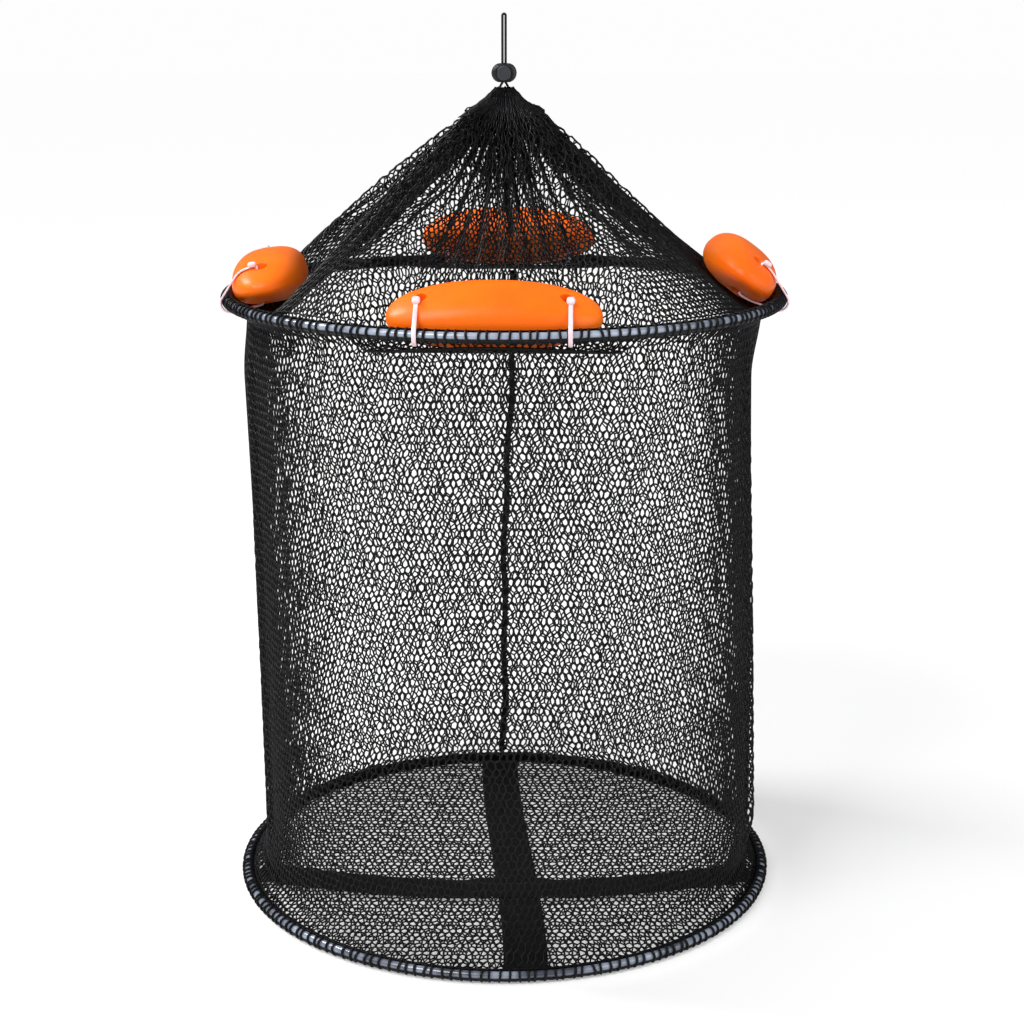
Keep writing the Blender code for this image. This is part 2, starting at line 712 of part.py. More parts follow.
def strap(name, centres, lift, disc):
    """Flat webbing along centres, a list of (x, y), raised by lift(x), cut to the hem."""
    bm = bmesh.new()
    rails = []
    for n, (x, y) in enumerate(centres):
        before = Vector(centres[max(n - 1, 0)])
        after = Vector(centres[min(n + 1, len(centres) - 1)])
        ahead = (after - before).normalized()
        across = Vector((-ahead.y, ahead.x)) * STRAP_WIDTH / 2
        z = STRAP_Z + lift(x)
        left = bm.verts.new((x + across.x, y + across.y, z))
        right = bm.verts.new((x - across.x, y - across.y, z))
        rails.append((left, right))
    for (left, right), (next_left, next_right) in zip(rails, rails[1:]):
        bm.faces.new((left, right, next_right, next_left))
    webbing = add_object(name, mesh_from(name, bm), WEBBING_BLACK)
    wall = webbing.modifiers.new("webbing", "SOLIDIFY")
    wall.thickness = STRAP_THICKNESS
    wall.offset = 0.0
    cut(webbing, disc, "INTERSECT")


def straps():
    """Two crossing straps; the one from side to side is bowed and passes over the other."""
    reach = HOOP_RADIUS - HEM_OUTER - CLEARANCE
    round_edge = bmesh.new()
    bmesh.ops.create_cone(
        round_edge,
        cap_ends=True,
        segments=HOOP_SEGMENTS,
        radius1=reach,
        radius2=reach,
        depth=10 * STRAP_THICKNESS,
    )
    disc = add_object("strap_ends", mesh_from("strap_ends", round_edge), NET_BLACK, CUTTERS)
    disc.location.z = STRAP_Z
    end = reach + CLEARANCE
    stations = [end - 2 * end * n / STRAP_STEPS for n in range(STRAP_STEPS + 1)]

    def lane(y):
        bend = smooth_step(y, reach, -reach)
        return LONG_STRAP_BACK_X + (LONG_STRAP_FRONT_X - LONG_STRAP_BACK_X) * bend

    def bow(x):
        return CROSSING_Y + STRAP_BOW * (abs(x) / end) ** 2

    def flat(x):
        return 0.0

    def hump(x):
        level = STRAP_WIDTH / 2 + HUMP_LEVEL
        raised = STRAP_THICKNESS + CLEARANCE
        return raised * (1 - smooth_step(abs(x - CROSSING_X), level, level + HUMP_LENGTH))

    strap("strap_front_back", [(lane(y), y) for y in stations], flat, disc)
    strap("strap_left_right", [(x, bow(x)) for x in stations], hump, disc)


def drawcord():
    """One closed cord: round the gathered rim, up through the lock and over the loop."""
    half = STRAND_SPACING / 2
    rim_z = HOOP_Z + CONE_RISE
    lock_bottom = LOCK_Z - LOCK_HEIGHT / 2
    points = []
    first = (CORD_GATHER_GAP - math.pi) / 2
    for n in range(CORD_GATHER_STEPS + 1):
        turn = first + (math.tau - CORD_GATHER_GAP) * n / CORD_GATHER_STEPS
        points.append(ring_point(CORD_RING_RADIUS, turn, rim_z))
    forward = -CORD_FORWARD * CORD_RING_RADIUS
    between = (rim_z + lock_bottom) / 2
    points.append(Vector((-CORD_SPREAD * half, forward, between)))
    crown = -CORD_RADIUS - half
    rise = [lock_bottom, LOCK_Z, LOCK_Z + LOCK_HEIGHT / 2, crown - 3 * STRAND_SPACING, crown]
    points += [Vector((-half, 0.0, z)) for z in rise]
    for n in range(1, LOOP_STEPS):
        turn = math.pi - math.pi * n / LOOP_STEPS
        points.append(Vector((half * math.cos(turn), 0.0, crown + half * math.sin(turn))))
    points += [Vector((half, 0.0, z)) for z in reversed(rise)]
    points.append(Vector((CORD_SPREAD * half, forward, between)))
    poly_tube("drawcord", points, CORD_RADIUS, CORD_BLACK, closed=True, resolution=2)


def oval_prism(name, width, height, near, far, finish, collection, sides=20):
    """A stadium section, wide or tall, from y = near to y = far at the lock's height."""
    bm = bmesh.new()
    small = min(width, height) / 2
    bmesh.ops.create_cone(
        bm, cap_ends=True, segments=sides, radius1=small, radius2=small, depth=far - near
    )
    bmesh.ops.rotate(bm, verts=bm.verts, matrix=Matrix.Rotation(math.pi / 2, 3, "X"))
    on_centre = small / 1000
    for corner in bm.verts:
        if abs(corner.co.x) > on_centre:
            corner.co.x += math.copysign(width / 2 - small, corner.co.x)
        if abs(corner.co.z) > on_centre:
            corner.co.z += math.copysign(height / 2 - small, corner.co.z)
        corner.co.y += (near + far) / 2
    prism = add_object(name, mesh_from(name, bm), finish, collection)
    prism.location.z = LOCK_Z
    return prism


def box_cutter(name, low, high):
    bm = bmesh.new()
    bmesh.ops.create_cube(bm, size=1.0)
    size = Vector(high) - Vector(low)
    bmesh.ops.scale(bm, verts=bm.verts, vec=size)
    bmesh.ops.translate(bm, verts=bm.verts, vec=(Vector(low) + Vector(high)) / 2)
    cutter = add_object(name, mesh_from(name, bm), LOCK_CHARCOAL, CUTTERS)
    cutter.location.z = LOCK_Z
    return cutter


def round_rims(piece, width):
    edge = piece.modifiers.new("edge", "BEVEL")
    edge.width = width
    edge.segments = 2
    edge.limit_method = "ANGLE"
    edge.angle_limit = math.radians(50)


def cord_lock():
    """Housing, sprung button and spring; the cord runs through both cross slots."""
    slot_x = STRAND_SPACING / 2 + CORD_RADIUS + CLEARANCE
    slot_y = CORD_RADIUS + CLEARANCE
    tall = LOCK_HEIGHT
    body = oval_prism(
        "cord_lock_body", LOCK_WIDTH, LOCK_HEIGHT, -LOCK_FRONT, LOCK_BACK, LOCK_CHARCOAL, PARTS
    )
    round_rims(body, LOCK_EDGE)
    button_back = slot_y + BUTTON_LAND
    bore_end = button_back + SPRING_LENGTH + 2 * CLEARANCE
    bore = oval_prism(
        "lock_bore",
        BUTTON_WIDTH + 2 * CLEARANCE,
        BUTTON_HEIGHT + 2 * CLEARANCE,
        -2 * LOCK_FRONT,
        bore_end,
        LOCK_CHARCOAL,
        CUTTERS,
    )
    cut(body, bore)
    cut(body, box_cutter("cord_slot", (-slot_x, -slot_y, -tall), (slot_x, slot_y, tall)))
    button = oval_prism(
        "cord_lock_button",
        BUTTON_WIDTH,
        BUTTON_HEIGHT,
        -LOCK_FRONT - BUTTON_PROUD,
        button_back,
        LOCK_CHARCOAL,
        PARTS,
    )
    round_rims(button, LOCK_EDGE / 3)
    window = box_cutter(
        "button_slot", (-slot_x, -slot_y - BUTTON_TRAVEL, -tall), (slot_x, slot_y, tall)
    )
    cut(button, window)
    turns = []
    steps = SPRING_TURN_STEPS * SPRING_TURNS
    seat_y = button_back + CLEARANCE + SPRING_WIRE
    travel = SPRING_LENGTH - 2 * SPRING_WIRE
    for n in range(steps + 1):
        turn = math.tau * n / SPRING_TURN_STEPS
        y = seat_y + travel * n / steps
        turns.append(Vector((SPRING_RADIUS * math.cos(turn), y, SPRING_RADIUS * math.sin(turn))))
    spring = poly_tube("cord_lock_spring", turns, SPRING_WIRE, SPRING_STEEL, resolution=1)
    spring.location.z = LOCK_Z
    half_turn = SPRING_TURN_STEPS // 2
    spans = [(a - b).length for n, a in enumerate(turns) for b in turns[n + half_turn :]]
    print(f"least gap between the spring's turns: {(min(spans) - 2 * SPRING_WIRE) * 1000:.2f} mm")


drawcord()
cord_lock()
hoop("top", HOOP_Z)
floats()
netting()
hoop("base", BASE_Z)
floor_net()
straps()
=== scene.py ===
"""Floating keep net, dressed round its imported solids: netting, floats, ties, hoops, straps, cord.

The frame gives every place and size in metres, Z up, with the origin at the top of the drawcord.
"""

import math

import bpy
from mathutils import Matrix, Vector, noise
from mathutils.geometry import convex_hull_2d


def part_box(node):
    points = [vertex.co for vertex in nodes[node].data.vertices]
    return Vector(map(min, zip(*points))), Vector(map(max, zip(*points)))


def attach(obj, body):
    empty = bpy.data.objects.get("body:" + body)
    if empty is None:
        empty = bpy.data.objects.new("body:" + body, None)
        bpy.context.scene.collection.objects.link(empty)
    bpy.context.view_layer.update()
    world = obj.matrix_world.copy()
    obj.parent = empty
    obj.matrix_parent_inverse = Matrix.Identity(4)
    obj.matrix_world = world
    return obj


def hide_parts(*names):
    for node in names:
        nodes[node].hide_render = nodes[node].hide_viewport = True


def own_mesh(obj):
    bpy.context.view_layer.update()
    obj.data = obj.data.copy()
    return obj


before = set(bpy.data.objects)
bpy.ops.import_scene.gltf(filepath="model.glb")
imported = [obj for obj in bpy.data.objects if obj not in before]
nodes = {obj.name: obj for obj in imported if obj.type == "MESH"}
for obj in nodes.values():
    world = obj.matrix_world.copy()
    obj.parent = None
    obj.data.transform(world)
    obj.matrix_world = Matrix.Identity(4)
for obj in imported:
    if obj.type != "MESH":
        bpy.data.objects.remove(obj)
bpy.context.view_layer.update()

# Camera: at the height of the drawcord's top, a little right of the middle, looking down at the
# net. Its distance, tilt and lens were fitted to the ellipses of the two hoops.
IMAGE_SIDE = 1024
FOCAL_LENGTH_PX = 1908.7
SENSOR_WIDTH = 36.0
CAMERA_PLACE = (0.0045, -1.10976, 0.0)
CAMERA_TILT = 0.2560

bpy.ops.object.camera_add(location=CAMERA_PLACE, rotation=(math.pi / 2 - CAMERA_TILT, 0, 0))
camera = bpy.context.object
camera.name = "camera"
camera.data.sensor_width = SENSOR_WIDTH
camera.data.lens = SENSOR_WIDTH * FOCAL_LENGTH_PX / IMAGE_SIDE
bpy.context.scene.camera = camera


# Studio: a white floor just under the lower hoop and a white surround, dimmer for the light that
# they throw on the net than for the camera. The floor glows in rings, brighter under the net than
# round it; the extra glow under the net is painted light, which lifts the net's own shadow off the
# floor. A large soft lamp stands at the upper left, with a weaker one on each side.
FLOOR_SIDE = 30.0
FLOOR_DROP = 0.0006
FLOOR_COLOUR = (0.80, 0.80, 0.80)
FLOOR_GLOW = {"bounced": 0.02, "mirrored": 0.0, "seen": 0.485}
# The share of the glow at each distance from the net's middle; the higher share under the net is
# painted light over the net's own shadow
FLOOR_GLOW_RINGS = ((0.0, 0.75), (0.145, 0.75), (0.185, 0.29), (0.35, 0.29), (2.2, 1.0))
SURROUND_LIGHT = {"bounced": 0.62, "mirrored": 0.16, "seen": 0.985}
# Each lamp's place, side and power
LAMPS = (
    ("key_lamp", (-0.75, -0.95, 0.95), 0.80, 17.0),
    ("fill_lamp", (1.25, -0.80, 0.35), 1.30, 9.0),
    ("side_lamp", (-1.05, 0.35, 0.75), 0.45, 14.0),
)
LAMP_AIM = Vector((0, 0, -0.28))


def put(tree, value, socket):
    """Sets an input to a number, or links another node's output to it."""
    if isinstance(value, bpy.types.NodeSocket):
        tree.links.new(value, socket)
    else:
        socket.default_value = value


def combine(tree, operation, *values):
    """A sum, product or the like of numbers and outputs."""
    made = tree.nodes.new("ShaderNodeMath")
    made.operation = operation
    for value, socket in zip(values, made.inputs):
        put(tree, value, socket)
    return made.outputs[0]


def mapped(tree, value, low, high, from_low=0.0, from_high=1.0):
    """Maps a value from one range to the range from low to high."""
    made = tree.nodes.new("ShaderNodeMapRange")
    limits = (value, from_low, from_high, low, high)
    for limit, socket in zip(limits, ("Value", "From Min", "From Max", "To Min", "To Max")):
        put(tree, limit, made.inputs[socket])
    return made.outputs["Result"]


def by_ray(tree, levels):
    """A strength for bounced light, another for mirrored light, and one for what is looked at."""
    rays = tree.nodes.new("ShaderNodeLightPath").outputs
    looked = combine(tree, "MAXIMUM", rays["Is Camera Ray"], rays["Is Transmission Ray"])
    mirrored = mapped(tree, rays["Is Glossy Ray"], levels["bounced"], levels["mirrored"])
    return mapped(tree, looked, mirrored, levels["seen"])


floor_white = bpy.data.materials.new("studio_floor")
floor_white.use_nodes = True
tree = floor_white.node_tree
paper = tree.nodes["Principled BSDF"]
paper.inputs["Base Color"].default_value = (*FLOOR_COLOUR, 1)
paper.inputs["Roughness"].default_value = 0.9
paper.inputs["Specular IOR Level"].default_value = 0.0
glow = tree.nodes.new("ShaderNodeEmission")
spot = tree.nodes.new("ShaderNodeTexCoord")
away = tree.nodes.new("ShaderNodeVectorMath")
away.operation = "LENGTH"
tree.links.new(spot.outputs["Object"], away.inputs[0])
outermost = FLOOR_GLOW_RINGS[-1][0]
share = combine(tree, "DIVIDE", away.outputs["Value"], outermost)
fade = tree.nodes.new("ShaderNodeValToRGB")
fade.color_ramp.interpolation = "EASE"
fade.color_ramp.elements.remove(fade.color_ramp.elements[1])
for place, (reach, level) in enumerate(FLOOR_GLOW_RINGS):
    if place:
        fade.color_ramp.elements.new(reach / outermost)
    fade.color_ramp.elements[place].color = (level, level, level, 1)
tree.links.new(share, fade.inputs["Fac"])
dimmed = combine(tree, "MULTIPLY", by_ray(tree, FLOOR_GLOW), fade.outputs["Color"])
tree.links.new(dimmed, glow.inputs["Strength"])
both = tree.nodes.new("ShaderNodeAddShader")
tree.links.new(paper.outputs[0], both.inputs[0])
tree.links.new(glow.outputs[0], both.inputs[1])
tree.links.new(both.outputs[0], tree.nodes["Material Output"].inputs["Surface"])

lowest = min(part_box(name)[0].z for name in nodes)
bpy.ops.object.select_all(action="DESELECT")
bpy.ops.mesh.primitive_plane_add(size=FLOOR_SIDE, location=(0, 0, lowest - FLOOR_DROP))
studio_floor = bpy.context.object
studio_floor.name = "studio_floor"
studio_floor.data.materials.append(floor_white)

world = bpy.data.worlds.new("studio")
bpy.context.scene.world = world
world.use_nodes = True
sky = world.node_tree.nodes["Background"]
sky.inputs["Color"].default_value = (1, 1, 1, 1)
world.node_tree.links.new(by_ray(world.node_tree, SURROUND_LIGHT), sky.inputs["Strength"])

for lamp_name, place, side, power in LAMPS:
    bpy.ops.object.light_add(type="AREA", location=place)
    lamp = bpy.context.object
    lamp.name = lamp_name
    lamp.data.size = side
    lamp.data.energy = power
    lamp.rotation_euler = (LAMP_AIM - Vector(place)).to_track_quat("-Z", "Y").to_euler()

bpy.context.scene.view_settings.view_transform = "Standard"


# Hoops: two rings of spring wire in a glossy grey-blue plastic tube. The tube is spun from a small
# circle, and leaves room at the back for the crimped steel ferrule. Wire and ferrule are the
# frame's own solids.
HOOP_RADIUS = 0.160
TUBE_RADIUS = 0.0024
TUBE_WALL = 0.0006
FERRULE_GAP = math.radians(3.1)
TUBE_SIDES = 18
TUBE_STEPS = 360
TUBE_COLOUR = (0.130, 0.150, 0.190)
# The tube's dark and light tones; the painted shade at the lower hoop's front and the painted
# highlight at the upper hoop's front reach them too
TUBE_DARK_AND_SHADE = (0.055, 0.062, 0.085)
TUBE_LIGHT_AND_HIGHLIGHT = (0.34, 0.39, 0.49)
# Painted highlight along the front of the upper hoop and a little painted shade along the front of
# the lower one: where it starts, how much it adds from back to front, and its share on each hoop
HIGHLIGHT_FROM_Y = -0.120
FRONT_HIGHLIGHT = (-0.05, 0.32)
HIGHLIGHT_BY_HOOP = (-0.25, 1.0)
STEEL_COLOUR = (0.55, 0.56, 0.58)
DOUBLES_WITHIN = 0.000002


def hoop_height(prefix):
    low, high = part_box(f"{prefix}_hoop_sheath")
    return (low.z + high.z) / 2


HOOP_Z = hoop_height("top")
BASE_Z = hoop_height("base")
HOOPS = (("top", HOOP_Z, "top_hoop"), ("base", BASE_Z, "base_hoop"))


def new_finish(name, colour, roughness, metallic=0.0):
    """A material with a Principled shader, its tree and its shader, ready for detail."""
    made = bpy.data.materials.new(name)
    made.use_nodes = True
    shader = made.node_tree.nodes["Principled BSDF"]
    shader.inputs["Base Color"].default_value = (*colour, 1)
    shader.inputs["Roughness"].default_value = roughness
    shader.inputs["Metallic"].default_value = metallic
    return made, made.node_tree, shader


def grain(tree, scale, detail=3.0):
    """Noise on Object coordinates, which are the frame's metres."""
    place = tree.nodes.new("ShaderNodeTexCoord")
    speckle = tree.nodes.new("ShaderNodeTexNoise")
    speckle.inputs["Scale"].default_value = scale
    speckle.inputs["Detail"].default_value = detail
    tree.links.new(place.outputs["Object"], speckle.inputs["Vector"])
    return speckle.outputs["Fac"]


def vary(tree, value, socket, dark, light):
    """A colour ramp from dark to light by value, into a colour socket."""
    ramp = tree.nodes.new("ShaderNodeValToRGB")
    ramp.color_ramp.elements[0].position = 0.3
    ramp.color_ramp.elements[0].color = (*dark, 1)
    ramp.color_ramp.elements[1].position = 0.7
    ramp.color_ramp.elements[1].color = (*light, 1)
    tree.links.new(value, ramp.inputs["Fac"])
    tree.links.new(ramp.outputs["Color"], socket)


def spread(tree, value, socket, low, high):
    """Maps a 0 to 1 value to low to high, into a number socket."""
    tree.links.new(mapped(tree, value, low, high), socket)


def raise_surface(tree, value, shader, height, strength):
    """Bump of that height in metres."""
    bump = tree.nodes.new("ShaderNodeBump")
    bump.inputs["Strength"].default_value = strength
    bump.inputs["Distance"].default_value = height
    tree.links.new(value, bump.inputs["Height"])
    tree.links.new(bump.outputs["Normal"], shader.inputs["Normal"])


def painted_front_highlight(tree, value):
    """Painted highlight and shade: raises a 0 to 1 value at the front of the upper hoop, as a painted
    highlight, and lowers it a little at the lower one's, as painted shade.
    """
    place = tree.nodes.new("ShaderNodeTexCoord")
    parts = tree.nodes.new("ShaderNodeSeparateXYZ")
    tree.links.new(place.outputs["Object"], parts.inputs[0])
    front = mapped(tree, parts.outputs["Y"], *FRONT_HIGHLIGHT, HIGHLIGHT_FROM_Y, -HOOP_RADIUS)
    upper = mapped(tree, parts.outputs["Z"], *HIGHLIGHT_BY_HOOP, BASE_Z, HOOP_Z)
    return combine(tree, "MULTIPLY_ADD", front, upper, value)


# The tube's colour is a random cloudy tone, with a painted highlight along the upper hoop's front and
# a little painted shade along the lower one's.
tube_plastic, tree, shader = new_finish("tube_plastic", TUBE_COLOUR, 0.34)
tone_and_painted_highlight = painted_front_highlight(tree, grain(tree, 60.0))
vary(tree, tone_and_painted_highlight, shader.inputs["Base Color"], TUBE_DARK_AND_SHADE, TUBE_LIGHT_AND_HIGHLIGHT)
spread(tree, grain(tree, 420.0), shader.inputs["Roughness"], 0.16, 0.36)
raise_surface(tree, grain(tree, 900.0), shader, 0.00006, 0.5)
shader.inputs["Coat Weight"].default_value = 1.0
shader.inputs["Coat Roughness"].default_value = 0.07


def dress(piece, body, slot, finish, *stands_for):
    """Gives a finished piece its material, its body and the nodes that it replaces; its slot is not
    used.
    """
    piece.data.materials.clear()
    piece.data.materials.append(finish)
    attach(piece, body)
    if stands_for:
        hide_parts(*stands_for)
    return piece


def refinish(name, finish):
    """Gives a solid of the frame, which stays in sight, a material made here."""
    nodes[name].data.materials.clear()
    nodes[name].data.materials.append(finish)


def pick(piece):
    """Selects one piece alone and makes it the active one."""
    bpy.ops.object.select_all(action="DESELECT")
    piece.select_set(True)
    bpy.context.view_layer.objects.active = piece


def apply_modifier(piece, kind, **settings):
    """Gives a piece one modifier and applies it."""
    modifier = piece.modifiers.new(kind.lower(), kind)
    for setting, value in settings.items():
        setattr(modifier, setting, value)
    bpy.context.view_layer.objects.active = piece
    bpy.ops.object.modifier_apply(modifier=modifier.name)


def outward(piece, merge=True):
    """Points the faces of a mesh outwards, after merging its doubles."""
    pick(piece)
    bpy.ops.object.mode_set(mode="EDIT")
    bpy.ops.mesh.select_all(action="SELECT")
    if merge:
        bpy.ops.mesh.remove_doubles(threshold=DOUBLES_WITHIN)
    bpy.ops.mesh.normals_make_consistent(inside=False)
    bpy.ops.object.mode_set(mode="OBJECT")
    bpy.ops.object.shade_smooth()
    return piece


def from_points(name, points, faces):
    """A mesh object at the origin from points and faces worked out by a formula."""
    mesh = bpy.data.meshes.new(name)
    mesh.from_pydata(points, [], faces)
    mesh.update()
    piece = bpy.data.objects.new(name, mesh)
    bpy.context.scene.collection.objects.link(piece)
    return piece


def ring_point(radius, angle, z=0.0):
    return Vector((radius * math.cos(angle), radius * math.sin(angle), z))


for prefix, z, body in HOOPS:
    start = math.pi / 2 + FERRULE_GAP
    bpy.ops.object.select_all(action="DESELECT")
    bpy.ops.mesh.primitive_circle_add(
        vertices=TUBE_SIDES,
        radius=TUBE_RADIUS,
        rotation=(math.pi / 2, 0, 0),
        location=(HOOP_RADIUS, 0, z),
    )
    tube = bpy.context.object
    tube.name = f"{prefix}_tube"
    tube.data.name = tube.name
    bpy.ops.object.transform_apply(location=True, rotation=True, scale=True)
    tube.data.transform(Matrix.Rotation(start, 4, "Z"))
    bpy.ops.object.mode_set(mode="EDIT")
    bpy.ops.mesh.select_all(action="SELECT")
    bpy.ops.mesh.spin(
        steps=TUBE_STEPS, angle=math.tau - 2 * FERRULE_GAP, center=(0, 0, 0), axis=(0, 0, 1)
    )
    bpy.ops.object.mode_set(mode="OBJECT")
    outward(tube)
    apply_modifier(tube, "SOLIDIFY", thickness=TUBE_WALL, offset=-1.0)
    dress(tube, body, "hoop_sheath", tube_plastic, f"{prefix}_hoop_sheath")

wire_steel, tree, shader = new_finish("wire_steel", STEEL_COLOUR, 0.35, metallic=1.0)
spread(tree, grain(tree, 600.0), shader.inputs["Roughness"], 0.25, 0.5)
for prefix, _, _ in HOOPS:
    for name in (f"{prefix}_hoop_wire", f"{prefix}_hoop_ferrule"):
        refinish(name, wire_steel)


# Mesh eyes: the netting's edge loops of black thread, through which each hoop is threaded. Every
# loop is a small ring round the tube, a little askew.
MESHES_ROUND = 194
THREAD_RADIUS = 0.00074
EYE_RADIUS = TUBE_RADIUS + THREAD_RADIUS + 0.00008
EYE_STEPS = 16
THREAD_SIDES = 6
EYE_SKEW = math.radians(13)
EYE_WANDER = 0.22
NETTING_COLOUR = (0.004, 0.004, 0.005)
NETTING_DARK = (0.002, 0.002, 0.003)
NETTING_LIGHT = (0.007, 0.007, 0.008)

netting_black, tree, shader = new_finish("netting_black", NETTING_COLOUR, 0.42)
vary(tree, grain(tree, 160.0), shader.inputs["Base Color"], NETTING_DARK, NETTING_LIGHT)
spread(tree, grain(tree, 700.0), shader.inputs["Roughness"], 0.28, 0.56)
raise_surface(tree, grain(tree, 2600.0, 2.0), shader, 0.00012, 0.7)
shader.inputs["Specular IOR Level"].default_value = 0.20


def wobble(seed, n):
    """A repeatable number from -1 to 1 for each whole number n, other for each seed."""
    place = Vector((seed * 1.37 + 0.31, n * 0.731 + 0.17, 0.0))
    return max(-1.0, min(1.0, noise.noise(place) * 2.0))


def thread_rings(name, z):
    """Rings of thread round the tube of the hoop at height z, joined into one piece."""
    bpy.ops.object.select_all(action="DESELECT")
    bpy.ops.mesh.primitive_torus_add(
        major_radius=EYE_RADIUS,
        minor_radius=THREAD_RADIUS,
        major_segments=EYE_STEPS,
        minor_segments=THREAD_SIDES,
    )
    pattern = bpy.context.object
    points, faces = [], []
    corners = [corner.co.copy() for corner in pattern.data.vertices]
    sides = [tuple(face.vertices) for face in pattern.data.polygons]
    stand = Matrix.Rotation(math.pi / 2, 4, "X")
    for n in range(MESHES_ROUND):
        turn = math.tau * (n + EYE_WANDER * wobble(1, n)) / MESHES_ROUND
        skew = Matrix.Rotation(EYE_SKEW * wobble(4, n), 4, "Z")
        tip = Matrix.Rotation(EYE_SKEW * wobble(8, n), 4, "X")
        seat = Matrix.Rotation(turn, 4, "Z") @ Matrix.Translation((HOOP_RADIUS, 0, z))
        place = seat @ skew @ tip @ stand
        points += [place @ corner for corner in corners]
        faces += [tuple(len(corners) * n + c for c in side) for side in sides]
    bpy.data.objects.remove(pattern, do_unlink=True)
    return outward(from_points(name, points, faces))


for prefix, z, body in HOOPS:
    dress(thread_rings(f"{prefix}_mesh_eyes", z), body, "net_hem", netting_black)


# Hems: the netting's edge bunched along the inner side of each hoop, where rows of black thread
# are lashed into one dense band. The band is ridged by the threads that cross it, and thinner
# where it reaches round to the outside.
HEM_INNER = TUBE_RADIUS + 0.0003
HEM_DEPTH = 0.0013
HEM_DEPTH_OUTSIDE = 0.0007
HEM_SKIN = 0.0003
HEM_FROM = math.radians(98)
HEM_TO = math.radians(342)
HEM_STEPS = 14
HEM_STEPS_EACH_MESH = 6
THINS_FROM = 0.55
THINS_OVER = 0.2
LEAST_DEPTH = 0.45
BULGE_DEPTH = 0.30
TWIST_DEPTH = 0.22
LUMP_DEPTH = 0.35


def hem_reach(turn, share):
    """How far the band stands off the tube's middle, at a share of the way round its section."""
    twist = math.sin(MESHES_ROUND * turn + 5.0 * share) * math.sin(3 * math.pi * share)
    lump = noise.noise(Vector((turn * 55, share * 4, 7.0)))
    bulge = math.sin(math.pi * share)
    thin = min(max((share - THINS_FROM) / THINS_OVER, 0.0), 1.0)
    deep = HEM_DEPTH + (HEM_DEPTH_OUTSIDE - HEM_DEPTH) * thin
    uneven = LEAST_DEPTH + BULGE_DEPTH * bulge + TWIST_DEPTH * twist + LUMP_DEPTH * lump * bulge
    return HEM_INNER + deep * uneven


for prefix, z, body in HOOPS:
    around = MESHES_ROUND * HEM_STEPS_EACH_MESH
    points, faces = [], []
    for n in range(around):
        turn = math.tau * n / around
        for step in range(HEM_STEPS + 1):
            share = step / HEM_STEPS
            lean = HEM_FROM + (HEM_TO - HEM_FROM) * share
            reach = hem_reach(turn, share)
            out, up = reach * math.cos(lean), reach * math.sin(lean)
            points.append(ring_point(HOOP_RADIUS + out, turn, z + up))
        for step in range(HEM_STEPS):
            a = n * (HEM_STEPS + 1) + step
            b = ((n + 1) % around) * (HEM_STEPS + 1) + step
            faces.append((a, b, b + 1, a + 1))
    hem = outward(from_points(f"{prefix}_hem", points, faces), merge=False)
    apply_modifier(hem, "SOLIDIFY", thickness=HEM_SKIN, offset=0.0)
    outward(hem)
    dress(hem, body, "net_hem", netting_black, f"{prefix}_hoop_hem")


# Floats: four moulded orange plastic lozenges that lie on the cone, hinged on the upper hoop by
# their ties. Each has a parting seam round its widest line and two holes with flared rims.
FLOAT_LENGTH = 0.112
FLOAT_WIDTH = 0.041
FLOAT_ABOVE_SEAM = 0.0165
FLOAT_BELOW_SEAM = 0.0125
FLOAT_END_TAPER = 0.30
END_FULLNESS = 2.7
END_BLUNTNESS = 0.42
SIDE_SQUARENESS = 0.74
TOP_SQUARENESS = 0.80
HOLE_RADIUS = 0.0048
HOLE_BORE = HOLE_RADIUS * 0.80
HOLE_SIDES = 40
HOLE_STATION = FLOAT_LENGTH / 2 - 0.018
TIE_STATION = HOLE_STATION + 0.0015
CHORD_RADIUS = math.sqrt(HOOP_RADIUS**2 - TIE_STATION**2)
FLOAT_RINGS = 72
FLOAT_SIDES = 64
SEAM_RIDGE = 0.0005
SEAM_WIDTH = 0.055
RIM_FLARE = 0.0027
RIM_STEPS = 5
RIM_EDGE = math.radians(42)
FLOAT_COLOUR = (1.0, 0.155, 0.001)
FLOAT_DARK = (0.98, 0.135, 0.001)
FLOAT_LIGHT = (1.0, 0.175, 0.002)

# Each float's angle round the hoop, how far in from it and how high over it, and its lean
FLOAT_SEATS = (
    ("front", math.radians(-92.0), 0.0265, 0.0060, math.radians(25)),
    ("left", math.radians(181.5), 0.0245, 0.0090, math.radians(8)),
    ("right", math.radians(0.5), 0.0240, 0.0135, math.radians(37)),
    ("back", math.radians(89.0), 0.0230, 0.0160, math.radians(43)),
)


def float_section(station, around, offset=0.0):
    """A point of the float's skin across its length: (across, up), from the seam's middle."""
    share = min(abs(station) / (FLOAT_LENGTH / 2), 1.0)
    end = (1 - share**END_FULLNESS) ** END_BLUNTNESS
    crown = 1 - FLOAT_END_TAPER * share**2
    deep = FLOAT_ABOVE_SEAM if math.sin(around) > 0 else FLOAT_BELOW_SEAM
    across = math.copysign(abs(math.cos(around)) ** SIDE_SQUARENESS, math.cos(around))
    upward = math.copysign(abs(math.sin(around)) ** TOP_SQUARENESS, math.sin(around))
    return ((FLOAT_WIDTH / 2 * end + offset) * across, (deep * end * crown + offset) * upward)


def seat_matrix(angle, inset, height, lean):
    """From a float's own frame (along, across, up) to its place on the hoop."""
    hinge = Matrix.Translation(ring_point(CHORD_RADIUS, angle, HOOP_Z))
    turn = Matrix.Rotation(angle - math.pi / 2, 4, "Z")
    middle = Matrix.Translation((0, HOOP_RADIUS - inset - CHORD_RADIUS, height))
    return hinge @ turn @ middle @ Matrix.Rotation(-lean, 4, "X")


def bell(off, width):
    """1 in the middle, fading to 0 on both sides over about twice the width."""
    return math.exp(-((off / width) ** 2))


